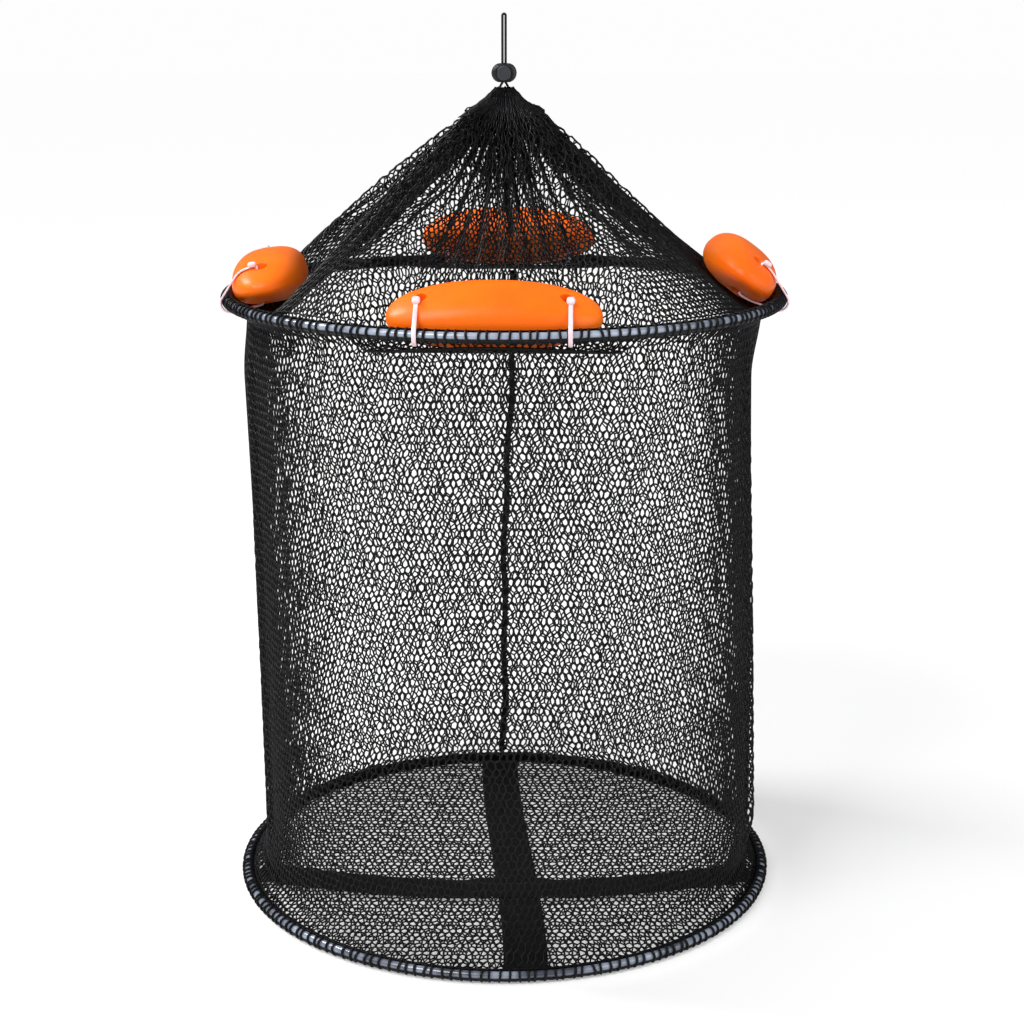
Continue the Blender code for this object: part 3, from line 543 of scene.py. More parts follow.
float_plastic, tree, shader = new_finish("float_orange", FLOAT_COLOUR, 0.34)
vary(tree, grain(tree, 26.0), shader.inputs["Base Color"], FLOAT_DARK, FLOAT_LIGHT)
shader.inputs["Specular IOR Level"].default_value = 0.26
spread(tree, grain(tree, 150.0), shader.inputs["Roughness"], 0.30, 0.45)
raise_surface(tree, grain(tree, 1500.0, 2.0), shader, 0.00005, 0.35)
shader.inputs["Subsurface Weight"].default_value = 0.18
shader.inputs["Subsurface Radius"].default_value = (0.010, 0.0015, 0.0002)
shader.inputs["Subsurface Scale"].default_value = 0.35

for seat_name, angle, inset, height, lean in FLOAT_SEATS:
    points, faces = [Vector((-FLOAT_LENGTH / 2, 0, 0))], []
    for ring in range(1, FLOAT_RINGS):
        station = -math.cos(math.pi * ring / FLOAT_RINGS) * FLOAT_LENGTH / 2
        for side in range(FLOAT_SIDES):
            around = math.tau * (side + 0.5) / FLOAT_SIDES
            from_seam = abs(math.sin(around))
            ridge = SEAM_RIDGE * bell(from_seam, SEAM_WIDTH)
            across, up = float_section(station, around, ridge)
            points.append(Vector((station, across, up)))
    points.append(Vector((FLOAT_LENGTH / 2, 0, 0)))
    last = len(points) - 1
    for ring in range(FLOAT_RINGS - 2):
        for side in range(FLOAT_SIDES):
            a = 1 + ring * FLOAT_SIDES + side
            b = 1 + ring * FLOAT_SIDES + (side + 1) % FLOAT_SIDES
            faces.append((a, b, b + FLOAT_SIDES, a + FLOAT_SIDES))
    for side in range(FLOAT_SIDES):
        after = (side + 1) % FLOAT_SIDES
        faces.append((0, 1 + after, 1 + side))
        faces.append((last, last - FLOAT_SIDES + side, last - FLOAT_SIDES + after))
    body = from_points(f"{seat_name}_float", points, faces)
    outward(body)
    for side in (-1, 1):
        bpy.ops.object.select_all(action="DESELECT")
        bpy.ops.mesh.primitive_cylinder_add(
            vertices=HOLE_SIDES,
            radius=HOLE_BORE,
            depth=FLOAT_WIDTH,
            location=(side * HOLE_STATION, 0, 0),
        )
        drill = bpy.context.object
        apply_modifier(body, "BOOLEAN", object=drill, solver="EXACT")
        bpy.data.objects.remove(drill, do_unlink=True)
    pick(body)
    apply_modifier(
        body, "BEVEL", width=RIM_FLARE, segments=RIM_STEPS, limit_method="ANGLE", angle_limit=RIM_EDGE
    )
    bpy.ops.object.shade_smooth()
    body.data.transform(seat_matrix(angle, inset, height, lean))
    dress(body, f"float_{seat_name}", "float", float_plastic, f"float_{seat_name}")


# Cable ties: eight whitish nylon straps, each through a float's hole and round the hoop, with its
# ratchet head on top of the float beside the hole.
TIE_WIDTH = 0.0023
TIE_THICKNESS = 0.0011
TIE_HEAD = (0.0044, 0.0048, 0.0032)
TIE_HOOP_RADIUS = 0.0046
TIE_OFF_CENTRE = 0.0022
GAP = 0.0003
TIE_STEPS = 120
SECTION_STEPS = 48
HEAD_ROUNDING = 0.0015
HEAD_STEPS = 4
TIE_COLOUR = (0.90, 0.66, 0.70)
TIE_DARK = (0.84, 0.56, 0.60)
TIE_LIGHT = (0.95, 0.76, 0.80)

# The strap's section, as shares of half its width and half its thickness
TIE_SECTION = (
    (-1, -0.55), (-0.75, -1), (0.75, -1), (1, -0.55),
    (1, 0.55), (0.75, 1), (-0.75, 1), (-1, 0.55),
)

tie_nylon, tree, shader = new_finish("tie_nylon", TIE_COLOUR, 0.3)
vary(tree, grain(tree, 220.0), shader.inputs["Base Color"], TIE_DARK, TIE_LIGHT)
shader.inputs["Subsurface Weight"].default_value = 0.5
shader.inputs["Subsurface Radius"].default_value = (0.004, 0.003, 0.0028)
shader.inputs["Subsurface Scale"].default_value = 0.4
shader.inputs["Coat Weight"].default_value = 0.2


def hinge_in_section(inset, height, lean):
    """The hinge line as (across, up) in the float's own frame."""
    y = CHORD_RADIUS - (HOOP_RADIUS - inset)
    z = -height
    return (y * math.cos(lean) - z * math.sin(lean), y * math.sin(lean) + z * math.cos(lean))


def section_points(station, offset, count):
    return [float_section(station, math.tau * n / count, offset) for n in range(count)]


def tie_loop(inset, height, lean, offset, count):
    """The taut outline of a tie round the float's outer half and the hoop."""
    hinge_u, hinge_n = hinge_in_section(inset, height, lean)
    skin = section_points(TIE_STATION, GAP + offset, count)
    points = [(u, n) for u, n in skin if u > TIE_OFF_CENTRE + TIE_THICKNESS]
    bare = section_points(TIE_STATION, 0.0, count)
    top = max(n for _, n in bare) + GAP + offset
    bottom = min(n for _, n in bare) - GAP - offset
    inner = TIE_OFF_CENTRE + TIE_THICKNESS / 2 - offset
    points += [(inner, top), (inner, bottom)]
    reach = TIE_HOOP_RADIUS + offset
    for step in range(count):
        turn = math.tau * step / count
        points.append((hinge_u + reach * math.cos(turn), hinge_n + reach * math.sin(turn)))
    ring = convex_hull_2d([Vector(p) for p in points])
    return [points[n] for n in ring]


def even_steps(outline, count):
    """The same closed outline with its points at even distances."""
    ring = [Vector(p) for p in outline]
    lengths = [(b - a).length for a, b in zip(ring, ring[1:] + ring[:1])]
    total = sum(lengths)
    spaced, walked, side = [], 0.0, 0
    for n in range(count):
        wanted = total * n / count
        while walked + lengths[side] < wanted:
            walked += lengths[side]
            side += 1
        share = (wanted - walked) / lengths[side]
        spaced.append(ring[side].lerp(ring[(side + 1) % len(ring)], share))
    return spaced


def tie_band(name, middle_line, station):
    """The strap itself, along its middle line at one station of the float."""
    points, faces = [], []
    half = TIE_THICKNESS / 2
    for n, at in enumerate(middle_line):
        ahead = (middle_line[(n + 1) % TIE_STEPS] - middle_line[n - 1]).normalized()
        out = Vector((ahead.y, -ahead.x))
        for wide, deep in TIE_SECTION:
            spot = at + out * half * deep
            points.append(Vector((station + wide * TIE_WIDTH / 2, spot.x, spot.y)))
    sides = len(TIE_SECTION)
    for n in range(TIE_STEPS):
        here, there = n * sides, ((n + 1) % TIE_STEPS) * sides
        for k in range(sides):
            after = (k + 1) % sides
            faces.append((here + k, here + after, there + after, there + k))
    return outward(from_points(name, points, faces))


def tie_head(station):
    """The ratchet head, on top of the float beside the hole."""
    top = max(up for _, up in section_points(TIE_STATION, GAP, SECTION_STEPS))
    across = TIE_OFF_CENTRE + TIE_HEAD[1] / 2
    bpy.ops.object.select_all(action="DESELECT")
    bpy.ops.mesh.primitive_cube_add(size=1, location=(station, across, top + TIE_HEAD[2] / 2))
    head = bpy.context.object
    head.scale = TIE_HEAD
    bpy.ops.object.transform_apply(location=True, rotation=True, scale=True)
    apply_modifier(head, "BEVEL", width=HEAD_ROUNDING, segments=HEAD_STEPS)
    bpy.ops.object.shade_smooth()
    return head


for seat_name, angle, inset, height, lean in FLOAT_SEATS:
    outline = tie_loop(inset, height, lean, TIE_THICKNESS / 2, SECTION_STEPS)
    middle_line = even_steps(outline, TIE_STEPS)
    for side, end in ((-1, "left"), (1, "right")):
        band = tie_band(f"{seat_name}_tie_{end}", middle_line, side * TIE_STATION)
        tie_head(side * TIE_STATION).select_set(True)
        band.select_set(True)
        bpy.context.view_layer.objects.active = band
        bpy.ops.object.join()
        band.data.transform(seat_matrix(angle, inset, height, lean))
        dress(band, f"float_{seat_name}", "cable_tie", tie_nylon, f"tie_{seat_name}_{end}")


# Netting: knotless black mesh with six-sided holes. A surface of hexagons is laid out by row and
# by mesh, shaped by a formula, and its edges are then turned to thread.
NET_MESHES = 240
MESH_PITCH = 0.0045
MESH_ZIGZAG = 0.0019
NET_STANDOFF = 0.0043
NETTING_SEED = 7

# Vector noise starts from the clock until it is given a seed.
noise.seed_set(NETTING_SEED)


def smooth_step(value, low, high):
    share = min(max((value - low) / (high - low), 0.0), 1.0)
    return share * share * (3 - 2 * share)


def hexagons(name, first, last, rows, place):
    """Meshes first to last of a net, as hexagons; place(row, mesh) gives each corner its point."""
    points, numbers, faces = [], {}, []

    def corner(row, half_step):
        key = (row, half_step)
        if key not in numbers:
            numbers[key] = len(points)
            down = 0.5 if (half_step + row) % 2 == 0 else -0.5
            points.append(place(row + down * MESH_ZIGZAG / MESH_PITCH, half_step / 2))
        return numbers[key]

    for row in range(rows):
        for mesh in range(first, last):
            k = 2 * mesh + row % 2
            upper = [corner(row, k), corner(row, k + 1), corner(row, k + 2)]
            lower = [corner(row + 1, k + 2), corner(row + 1, k + 1), corner(row + 1, k)]
            faces.append(upper + lower)
    return from_points(name, points, faces)


def to_thread(piece, thickness):
    """Turns the edges of a surface of meshes to thread."""
    pick(piece)
    apply_modifier(
        piece,
        "WIREFRAME",
        thickness=thickness,
        use_even_offset=False,
        use_boundary=True,
        use_replace=True,
    )
    bpy.ops.object.shade_smooth()
    return piece


# Wall: the basket's side, netting drawn in a little from both hoops and hanging in soft folds.
# It is made in four panels, and a rolled seam closes it at the back.
WALL_ROWS = 79
WALL_RADIUS = HOOP_RADIUS - 0.0115
WALL_FLARE = 0.015
WALL_LEAVES = math.radians(206)
WALL_DEPTH = HOOP_Z - BASE_Z
CALM_NEAR_HOOPS = (0.5 * WALL_FLARE, 3.2 * WALL_FLARE)
THREAD_WIDTH = 0.00130
PANELS = 4
SEAM_ANGLE = math.pi / 2

# Soft folds: the depth of each, how many there are round the wall, and how far they turn
SOFT_FOLDS = ((0.0011, 3, 3.2), (0.0007, 7, -1.8))
UNEVEN_FOLDS = 0.0009
# How far each side leans out at its top, and how much further at its bottom
RIGHT_SIDE, RIGHT_WIDTH, RIGHT_LEAN = math.radians(-6), 0.42, (-0.0052, 0.0085)
LEFT_SIDE, LEFT_WIDTH, LEFT_LEAN = math.radians(186), 0.5, (0.0050, -0.0100)
# The sharp crease at the right front and the one at the left
CREASE_SIDE, CREASE_TURN, CREASE_WIDTH, CREASE_DEPTH = math.radians(-24), 0.16, 0.035, 0.0042
CREASE_HOLLOW_BESIDE, CREASE_HOLLOW = 0.085, 0.8
LEFT_FOLD_SIDE, LEFT_FOLD_TURN, LEFT_FOLD_WIDTH = math.radians(199), 0.10, 0.04
LEFT_FOLD_DEPTH = 0.0030


def angle_from(a, b):
    return (a - b + math.pi) % math.tau - math.pi


def wall_folds(down, angle):
    """How far soft folds, the two sides' lean and the creases move the wall out."""
    folds = sum(deep * math.sin(count * angle + turn * down) for deep, count, turn in SOFT_FOLDS)
    around = ring_point(4, angle, 2.2 * down)
    folds += UNEVEN_FOLDS * noise.noise(around)
    right = bell(angle_from(angle, RIGHT_SIDE), RIGHT_WIDTH)
    left = bell(angle_from(angle, LEFT_SIDE), LEFT_WIDTH)
    lean = right * (RIGHT_LEAN[0] + RIGHT_LEAN[1] * down)
    lean += left * (LEFT_LEAN[0] + LEFT_LEAN[1] * down)
    fold_at = CREASE_SIDE + CREASE_TURN * down
    crease = bell(angle_from(angle, fold_at), CREASE_WIDTH)
    crease -= CREASE_HOLLOW * bell(angle_from(angle, fold_at + CREASE_HOLLOW_BESIDE), CREASE_WIDTH)
    left_fold = bell(angle_from(angle, LEFT_FOLD_SIDE - LEFT_FOLD_TURN * down), LEFT_FOLD_WIDTH)
    creases = CREASE_DEPTH * crease + LEFT_FOLD_DEPTH * left_fold
    return folds + lean + creases


def wall_point(down, angle):
    """A point of the wall's netting, down being 0 at the upper hoop and 1 at the lower one."""
    edge = HOOP_RADIUS + NET_STANDOFF * math.cos(WALL_LEAVES)
    start = -NET_STANDOFF * math.sin(WALL_LEAVES)
    depth = min(max(down * WALL_DEPTH, start), WALL_DEPTH - start)
    from_end = min(depth, WALL_DEPTH - depth)
    drawn_in = math.sin(smooth_step(from_end, start, WALL_FLARE) * math.pi / 2)
    calm = smooth_step(from_end, *CALM_NEAR_HOOPS)
    radius = edge + (WALL_RADIUS - edge) * drawn_in + wall_folds(down, angle) * calm
    return ring_point(radius, angle, HOOP_Z - depth)


def wall_place(row, mesh):
    """Row 0 is at the upper hoop. Each mesh is a little out of line with its neighbours."""
    loose = noise.noise_vector(Vector((mesh * 0.83, row * 0.91, 3.0)))
    drift = noise.noise(Vector((mesh * 0.05, row * 0.07, 9.0)))
    angle = math.tau * (mesh + 0.42 * loose.x + 0.8 * drift) / NET_MESHES + SEAM_ANGLE
    down = (row + 0.30 * loose.y + 0.25 * drift) / WALL_ROWS
    return wall_point(down, angle)


for panel in range(PANELS):
    first = round(NET_MESHES * panel / PANELS)
    last = round(NET_MESHES * (panel + 1) / PANELS)
    meshes = hexagons(f"wall_netting_{panel + 1}", first, last, WALL_ROWS, wall_place)
    netting = to_thread(meshes, THREAD_WIDTH)
    dress(netting, "top_hoop", "netting", netting_black)
    if panel == 0:
        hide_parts("net_wall")
    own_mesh(netting)


# Cone: the netting gathered from the upper hoop up to the drawcord. It passes under the floats,
# and as it narrows, its spare width folds inwards in pleats, so that the meshes keep their size.
RIM_RADIUS = 0.0050
CONE_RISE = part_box("net_cone")[1].z - HOOP_Z - 0.0003
CONE_ROWS = 41
CONE_EDGE = math.radians(150)
CONE_EDGE_FREE = math.radians(128)
CONE_EDGE_PRESSED = math.radians(200)
CONE_HOLLOW = 0.03
CONE_THREAD = 0.95 * THREAD_WIDTH
SQUARE_TO_CONE = (0.61, 0.79)

# How the floats press the netting down, and how far round the hoop from the middle of each
NET_UNDER_FLOAT = 0.0012
TIE_SINKS = 0.0008
PRESSED_TO = math.radians(24)
FREE_FROM = math.radians(34)
SIDEWAYS = 0.7
BEHIND_SIDE_FLOATS = math.radians(-3)
BEFORE_SIDE_FLOATS = math.radians(8)

# How the cone departs from a straight slope, by side and by share of the way to the cord
FULLER_LEFT = 0.0065
FULLER_RIGHT = 0.0062
FULLEST_RIGHT = 2.2
HOLLOW_RIGHT = 0.0050
HOLLOWEST_RIGHT = 0.6
FULLNESS_ENDS = (0.72, 0.97)
NECK_HOLLOW, NECK_AT, NECK_WIDTH = 0.0018, 0.93, 0.06

PLEATS = 48
PLEAT_LIMIT = 0.6
PLEATS_DEEPEN = (0.15, 0.6)
PLEATS_WANDER = 5.0
PLEATS_UNEVEN = 0.5
SHALLOWER_FRONT_AND_BACK = 0.55


def under_float(inset, height, lean):
    """What the netting passes under, as (outward, up) points from the axis at the hoop."""
    hinge_u, hinge_n = hinge_in_section(inset, height, lean)
    own = section_points(0.0, NET_UNDER_FLOAT, 32)
    own += tie_loop(inset, height, lean, TIE_THICKNESS + NET_UNDER_FLOAT - TIE_SINKS, 24)
    across, up = math.cos(lean), math.sin(lean)
    outline = []
    for u, n in own:
        u -= hinge_u
        n -= hinge_n
        outline.append((CHORD_RADIUS + u * across + n * up, -u * up + n * across))
    return outline


UNDER = {seat[0]: under_float(*seat[2:]) for seat in FLOAT_SEATS}


def taut_under(points):
    """The sides of the taut line round points, for reading its lower height."""
    ring = [points[n] for n in convex_hull_2d([Vector(p) for p in points])]
    return list(zip(ring, ring[1:] + ring[:1]))


def lower_height(sides, y):
    """The lower height of a taut line at y, or 0 where it doesn't reach."""
    heights = []
    for (y0, z0), (y1, z1) in sides:
        low, high = min(y0, y1), max(y0, y1)
        if low <= y <= high and high - low > 1e-9:
            heights.append(z0 + (z1 - z0) * (y - y0) / (y1 - y0))
    return min(heights) if heights else 0.0


def edge_point(lean):
    """Where the netting leaves the thread round the tube, as (outward, up) from the tube."""
    return NET_STANDOFF * math.cos(lean), NET_STANDOFF * math.sin(lean)


def press_on(angle):
    """The float that is nearest round the hoop, how far off it is, and its press from 0 to 1."""
    nearest = min(FLOAT_SEATS, key=lambda seat: abs(angle_from(angle, seat[1])))
    off = abs(angle_from(angle, nearest[1]))
    shift = 0.0
    if abs(math.cos(nearest[1])) > SIDEWAYS:
        behind = math.sin(angle) > math.sin(nearest[1])
        shift = BEHIND_SIDE_FLOATS if behind else BEFORE_SIDE_FLOATS
    return nearest[0], off, 1 - smooth_step(off, PRESSED_TO + shift / 2, FREE_FROM + shift)


def cone_height(radius, angle):
    """Height over the hoop of the cone without its pleats: fuller at its left, and at its right
    fuller near the cord and hollow lower down."""
    free_out, free_up = edge_point(CONE_EDGE_FREE)
    edge = HOOP_RADIUS + free_out
    share = (edge - radius) / (edge - RIM_RADIUS)
    height = free_up + (CONE_RISE - free_up) * (share - CONE_HOLLOW * share * (1 - share))
    share = min(max(share, 0.0), 1.0)
    left, right = max(-math.cos(angle), 0.0), max(math.cos(angle), 0.0)
    near_cord = 1 - smooth_step(share, *FULLNESS_ENDS)
    height += left * FULLER_LEFT * math.sin(math.pi * share) * near_cord
    height += right * FULLER_RIGHT * math.sin(math.pi * share**FULLEST_RIGHT) * near_cord
    height -= NECK_HOLLOW * bell(share - NECK_AT, NECK_WIDTH)
    height -= right * HOLLOW_RIGHT * math.sin(math.pi * share**HOLLOWEST_RIGHT)
    pressing, off, press = press_on(angle)
    if press > 0:
        squeeze = math.cos(off)
        out, up = edge_point(CONE_EDGE_PRESSED)
        ends = [((HOOP_RADIUS + out) * squeeze, up), (RIM_RADIUS * squeeze, CONE_RISE)]
        within = max(radius, RIM_RADIUS + 0.00001) * squeeze
        under = lower_height(taut_under(UNDER[pressing] + ends), within)
        height += (min(under, height) - height) * press
    return height


def pleat_depth(radius, share, angle, edge):
    """How deep the spare width folds, so that the netting is as wide as at the hoop."""
    around = ring_point(1, angle)
    spare = math.sqrt(max((math.tau * edge) ** 2 - (math.tau * radius) ** 2, 0.0)) / PLEATS / 2
    uneven = 1 + PLEATS_UNEVEN * noise.noise(Vector((11 * around.x, 11 * around.y, 3.0 * share)))
    middle = abs(math.sin(angle)) ** 12
    depth = min(spare * uneven, PLEAT_LIMIT * radius) * smooth_step(share, *PLEATS_DEEPEN)
    return depth * (1 - SHALLOWER_FRONT_AND_BACK * middle)


def off_cone(around):
    """The direction straight out of the cone's slope."""
    out, up = SQUARE_TO_CONE
    return around * out + Vector((0, 0, up))


def cone_place(row, mesh):
    """Row 0 is at the hoop, and the last at the gathered rim."""
    share = min(max(row / CONE_ROWS, 0.0), 1.0)
    edge = HOOP_RADIUS + edge_point(CONE_EDGE)[0]
    radius = edge + (RIM_RADIUS - edge) * share
    loose = noise.noise_vector(Vector((mesh * 0.87, row * 0.79, 21.0)))
    closing = 1 - 0.75 * smooth_step(share, 0.45, 1.0)
    angle = math.tau * (mesh + 0.34 * loose.x * closing) / NET_MESHES + SEAM_ANGLE
    radius += 0.0012 * loose.y * smooth_step(share, 0.0, 0.15) * closing
    around = ring_point(1, angle)
    wander = noise.noise(Vector((2.6 * around.x, 2.6 * around.y, 2.0 * share)))
    fold = 0.5 - 0.5 * math.cos(PLEATS * angle + PLEATS_WANDER * wander)
    at = ring_point(radius, angle, HOOP_Z + cone_height(radius, angle))
    return at - off_cone(around) * pleat_depth(radius, share, angle, edge) * fold


for panel in range(PANELS):
    first = round(NET_MESHES * panel / PANELS)
    last = round(NET_MESHES * (panel + 1) / PANELS)
    meshes = hexagons(f"cone_netting_{panel + 1}", first, last, CONE_ROWS, cone_place)
    netting = to_thread(meshes, CONE_THREAD)
    dress(netting, "top_hoop", "netting", netting_black)
    if panel == 0:
        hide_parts("net_cone")
    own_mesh(netting)


# Collar: the gathered top edge of the netting, turned over the drawcord and hanging outside the
# cone as a short ragged skirt of crumpled meshes, longest at the front.
COLLAR_ROWS = 11
COLLAR_MESHES = 116
COLLAR_THREAD = 0.0009
COLLAR_GAP = 0.0004
COLLAR_REACH = 0.021
LONGER_IN_FRONT = 0.027
RAGGED_EDGE = 0.007
CRUMPLED = 0.0030
TORN_TOP = 0.0022


def collar_place(row, mesh):
    """Row 0 is at the cord, and the last is the ragged lower edge."""
    share = row / COLLAR_ROWS
    angle = math.tau * mesh / COLLAR_MESHES + SEAM_ANGLE
    around = ring_point(1, angle)
    front = (0.5 - 0.5 * around.y) ** 3
    ragged = noise.noise(Vector((7 * around.x, 7 * around.y, 31.0)))
    reach = COLLAR_REACH + LONGER_IN_FRONT * front + RAGGED_EDGE * ragged
    radius = RIM_RADIUS + COLLAR_GAP + share * reach
    crumpled = noise.noise_vector(Vector((mesh * 0.77, row * 0.83, 57.0)))
    folded = noise.noise(Vector((9 * around.x, 9 * around.y, 4 * share)))
    loosened = smooth_step(share, 0.12, 0.75)
    puffed = 0.0008 + 0.0022 * abs(folded) + 0.0016 * abs(crumpled.z)
    stand_off = (COLLAR_GAP + puffed * loosened) * (1 - 0.6 * smooth_step(share, 0.7, 1.0))
    beside = Vector((-around.y, around.x, 0)) * CRUMPLED * crumpled.x * loosened
    radius += CRUMPLED * crumpled.y * loosened
    torn = TORN_TOP * noise.noise(Vector((17 * around.x, 17 * around.y, 71.0)))
    torn *= 1 - smooth_step(share, 0.0, 0.3)
    at = ring_point(radius, angle, HOOP_Z + min(cone_height(radius, angle), CONE_RISE) + torn)
    return at + off_cone(around) * stand_off + beside


collar = hexagons("collar_netting", 0, COLLAR_MESHES, COLLAR_ROWS, collar_place)
to_thread(collar, COLLAR_THREAD)
dress(collar, "top_hoop", "netting", netting_black)
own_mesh(collar)


# Seams: the two rolled and sewn edges of the netting, up the back of the cone and down the back
# of the wall. Each is a flat roll of thread, whipped over at even steps.
SEAM_HALF_WIDTH = 0.0021
SEAM_HALF_DEPTH = 0.0010
SEAM_STITCH = 0.0028
SEAM_STEP = 0.0009
SEAM_SIDES = 12
SEAM_RIB = 0.22
SEAM_TWIST = 0.14
WALL_SEAM_BEHIND = -0.0017
CONE_SEAM_FROM = 0.112
CONE_SEAM_TO = 0.012
CONE_SEAM_STEPS = 150
CONE_SEAM_UNDER = (-0.0016, -0.0021)


def seam_roll(name, line, stands_for):
    """A flattened, ribbed roll along a line of points at the back of the net."""
    points, faces = [], []
    side = Vector((1, 0, 0))
    for n, at in enumerate(line):
        ahead = (line[min(n + 1, len(line) - 1)] - line[max(n - 1, 0)]).normalized()
        out = ahead.cross(side).normalized()
        stitch = math.tau * (n * SEAM_STEP) / SEAM_STITCH
        rib = 1 + SEAM_RIB * math.sin(stitch)
        for k in range(SEAM_SIDES):
            turn = math.tau * k / SEAM_SIDES
            twist = 1 + SEAM_TWIST * math.sin(3 * turn + stitch)
            spot = at + side * SEAM_HALF_WIDTH * rib * twist * math.cos(turn)
            points.append(spot + out * SEAM_HALF_DEPTH * rib * twist * math.sin(turn))
    for n in range(len(line) - 1):
        for k in range(SEAM_SIDES):
            a, b = n * SEAM_SIDES + k, n * SEAM_SIDES + (k + 1) % SEAM_SIDES
            faces.append((a, b, b + SEAM_SIDES, a + SEAM_SIDES))
    faces.append(tuple(range(SEAM_SIDES)))
    faces.append(tuple(range(len(points) - SEAM_SIDES, len(points))))
    roll = outward(from_points(name, points, faces))
    dress(roll, "top_hoop", "net_seam", netting_black, stands_for)
    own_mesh(roll)


steps = int(WALL_DEPTH / SEAM_STEP)
wall_line = []
for n in range(8, steps - 8):
    down = n / steps
    sway = 0.0050 - 0.0080 * down + 0.0012 * math.sin(9 * down) + 0.0007 * math.sin(31 * down)
    wall_line.append(wall_point(down, SEAM_ANGLE) + Vector((sway, WALL_SEAM_BEHIND, 0)))
seam_roll("wall_seam_roll", wall_line, "wall_seam")

cone_line = []
for n in range(8, CONE_SEAM_STEPS - 6):
    radius = CONE_SEAM_FROM + (CONE_SEAM_TO - CONE_SEAM_FROM) * n / CONE_SEAM_STEPS
    sway = 0.0030 - 0.0020 * n / CONE_SEAM_STEPS + 0.0010 * math.sin(14 * n / CONE_SEAM_STEPS)
    at = ring_point(radius, SEAM_ANGLE, HOOP_Z + cone_height(radius, SEAM_ANGLE))
    cone_line.append(at + Vector((sway, *CONE_SEAM_UNDER)))
seam_roll("cone_seam_roll", cone_line, "cone_seam")


# Floor netting: the same black mesh stretched flat across the lower hoop, under the straps. It is
# made in two halves, each trimmed to the round of the hoop.
FLOOR_Z = (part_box("net_floor")[0].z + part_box("net_floor")[1].z) / 2
FLOOR_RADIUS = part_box("net_floor")[1].x
FLOOR_MESH = 0.0046
FLOOR_ROWS = int(2 * FLOOR_RADIUS / MESH_PITCH) + 2
FLOOR_THREAD = THREAD_WIDTH * 0.86
FLOOR_SPARE = 0.001


def floor_place(row, mesh):
    """Row 0 is at the back, and mesh 0 in the middle."""
    loose = noise.noise_vector(Vector((mesh * 0.87, row * 0.81, 41.0)))
    x = (mesh + 0.26 * loose.x) * FLOOR_MESH
    y = FLOOR_RADIUS + MESH_PITCH - (row + 0.22 * loose.y) * MESH_PITCH
    return Vector((x, y, FLOOR_Z + 0.0001 * loose.z))


def floor_panel(name, first, last):
    """The meshes of one side of the floor, trimmed to the round of the hoop."""
    panel = hexagons(name, first, last, FLOOR_ROWS, floor_place)
    pick(panel)
    bpy.ops.object.mode_set(mode="EDIT")
    bpy.ops.mesh.select_mode(type="FACE")
    bpy.ops.mesh.select_all(action="DESELECT")
    bpy.ops.object.mode_set(mode="OBJECT")
    for face in panel.data.polygons:
        face.select = face.center.to_2d().length > FLOOR_RADIUS + FLOOR_SPARE
    bpy.ops.object.mode_set(mode="EDIT")
    bpy.ops.mesh.delete(type="FACE")
    bpy.ops.object.mode_set(mode="OBJECT")
    for corner in panel.data.vertices:
        out = corner.co.to_2d().length
        if out > FLOOR_RADIUS:
            corner.co.x *= FLOOR_RADIUS / out
            corner.co.y *= FLOOR_RADIUS / out
    return to_thread(panel, FLOOR_THREAD)


half = int(FLOOR_RADIUS / FLOOR_MESH) + 1
for name, first, last in (("floor_netting_left", -half, 0), ("floor_netting_right", 0, half)):
    netting = floor_panel(name, first, last)
    dress(netting, "base_hoop", "netting", netting_black)
    if first:
        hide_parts("net_floor")


# Straps: two lengths of black webbing across the floor netting. Each is woven with ribs across it
# and firm edges, and the one from side to side bows forward and passes over the other.
STRAP_WIDTH = 0.025
STRAP_THICKNESS = 0.0012
STRAP_Z = FLOOR_Z + 0.0004 + GAP + STRAP_THICKNESS / 2
STRAP_REACH = HOOP_RADIUS - 0.0036 - GAP
STRAP_STEP = 0.0008
STRAP_STEPS_ACROSS = 20
RIB = 0.0016
RIB_HEIGHT = 0.00012
EDGE_HEIGHT = 0.00018
WEBBING_COLOUR = (0.007, 0.007, 0.008)
WEBBING_DARK = (0.004, 0.004, 0.005)
WEBBING_LIGHT = (0.011, 0.011, 0.012)

# The long strap runs from its place at the back to its place at the front, and the bowed one's
# middle is nearer the front than its ends
LANE_BACK, LANE_SHIFT = -0.004, 0.0163
LANE_ENDS_WIDTH = STRAP_WIDTH + 0.028
BOW_MIDDLE, BOW_DEPTH = -0.0525, 0.028
BOW_ENDS_WIDTH = 0.080
CROSSING_X = 0.0035
CROSSING_FLAT = STRAP_WIDTH / 2 + 0.004
CROSSING_SLOPE = 0.016

webbing, tree, shader = new_finish("webbing_black", WEBBING_COLOUR, 0.7)
vary(tree, grain(tree, 260.0), shader.inputs["Base Color"], WEBBING_DARK, WEBBING_LIGHT)
raise_surface(tree, grain(tree, 1800.0, 2.0), shader, 0.00015, 0.8)
shader.inputs["Specular IOR Level"].default_value = 0.2


def half_thickness(share, n, k):
    """Half the webbing's thickness at a share of its half width, at step n along and k across."""
    rib = RIB_HEIGHT * math.cos(math.tau * n * STRAP_STEP / RIB + math.pi * k)
    firm = EDGE_HEIGHT * smooth_step(abs(share), 0.82, 0.95)
    rounded = 1 - smooth_step(abs(share), 0.97, 1.0) * 0.8
    return (STRAP_THICKNESS / 2 - 0.0002 + rib + firm) * rounded


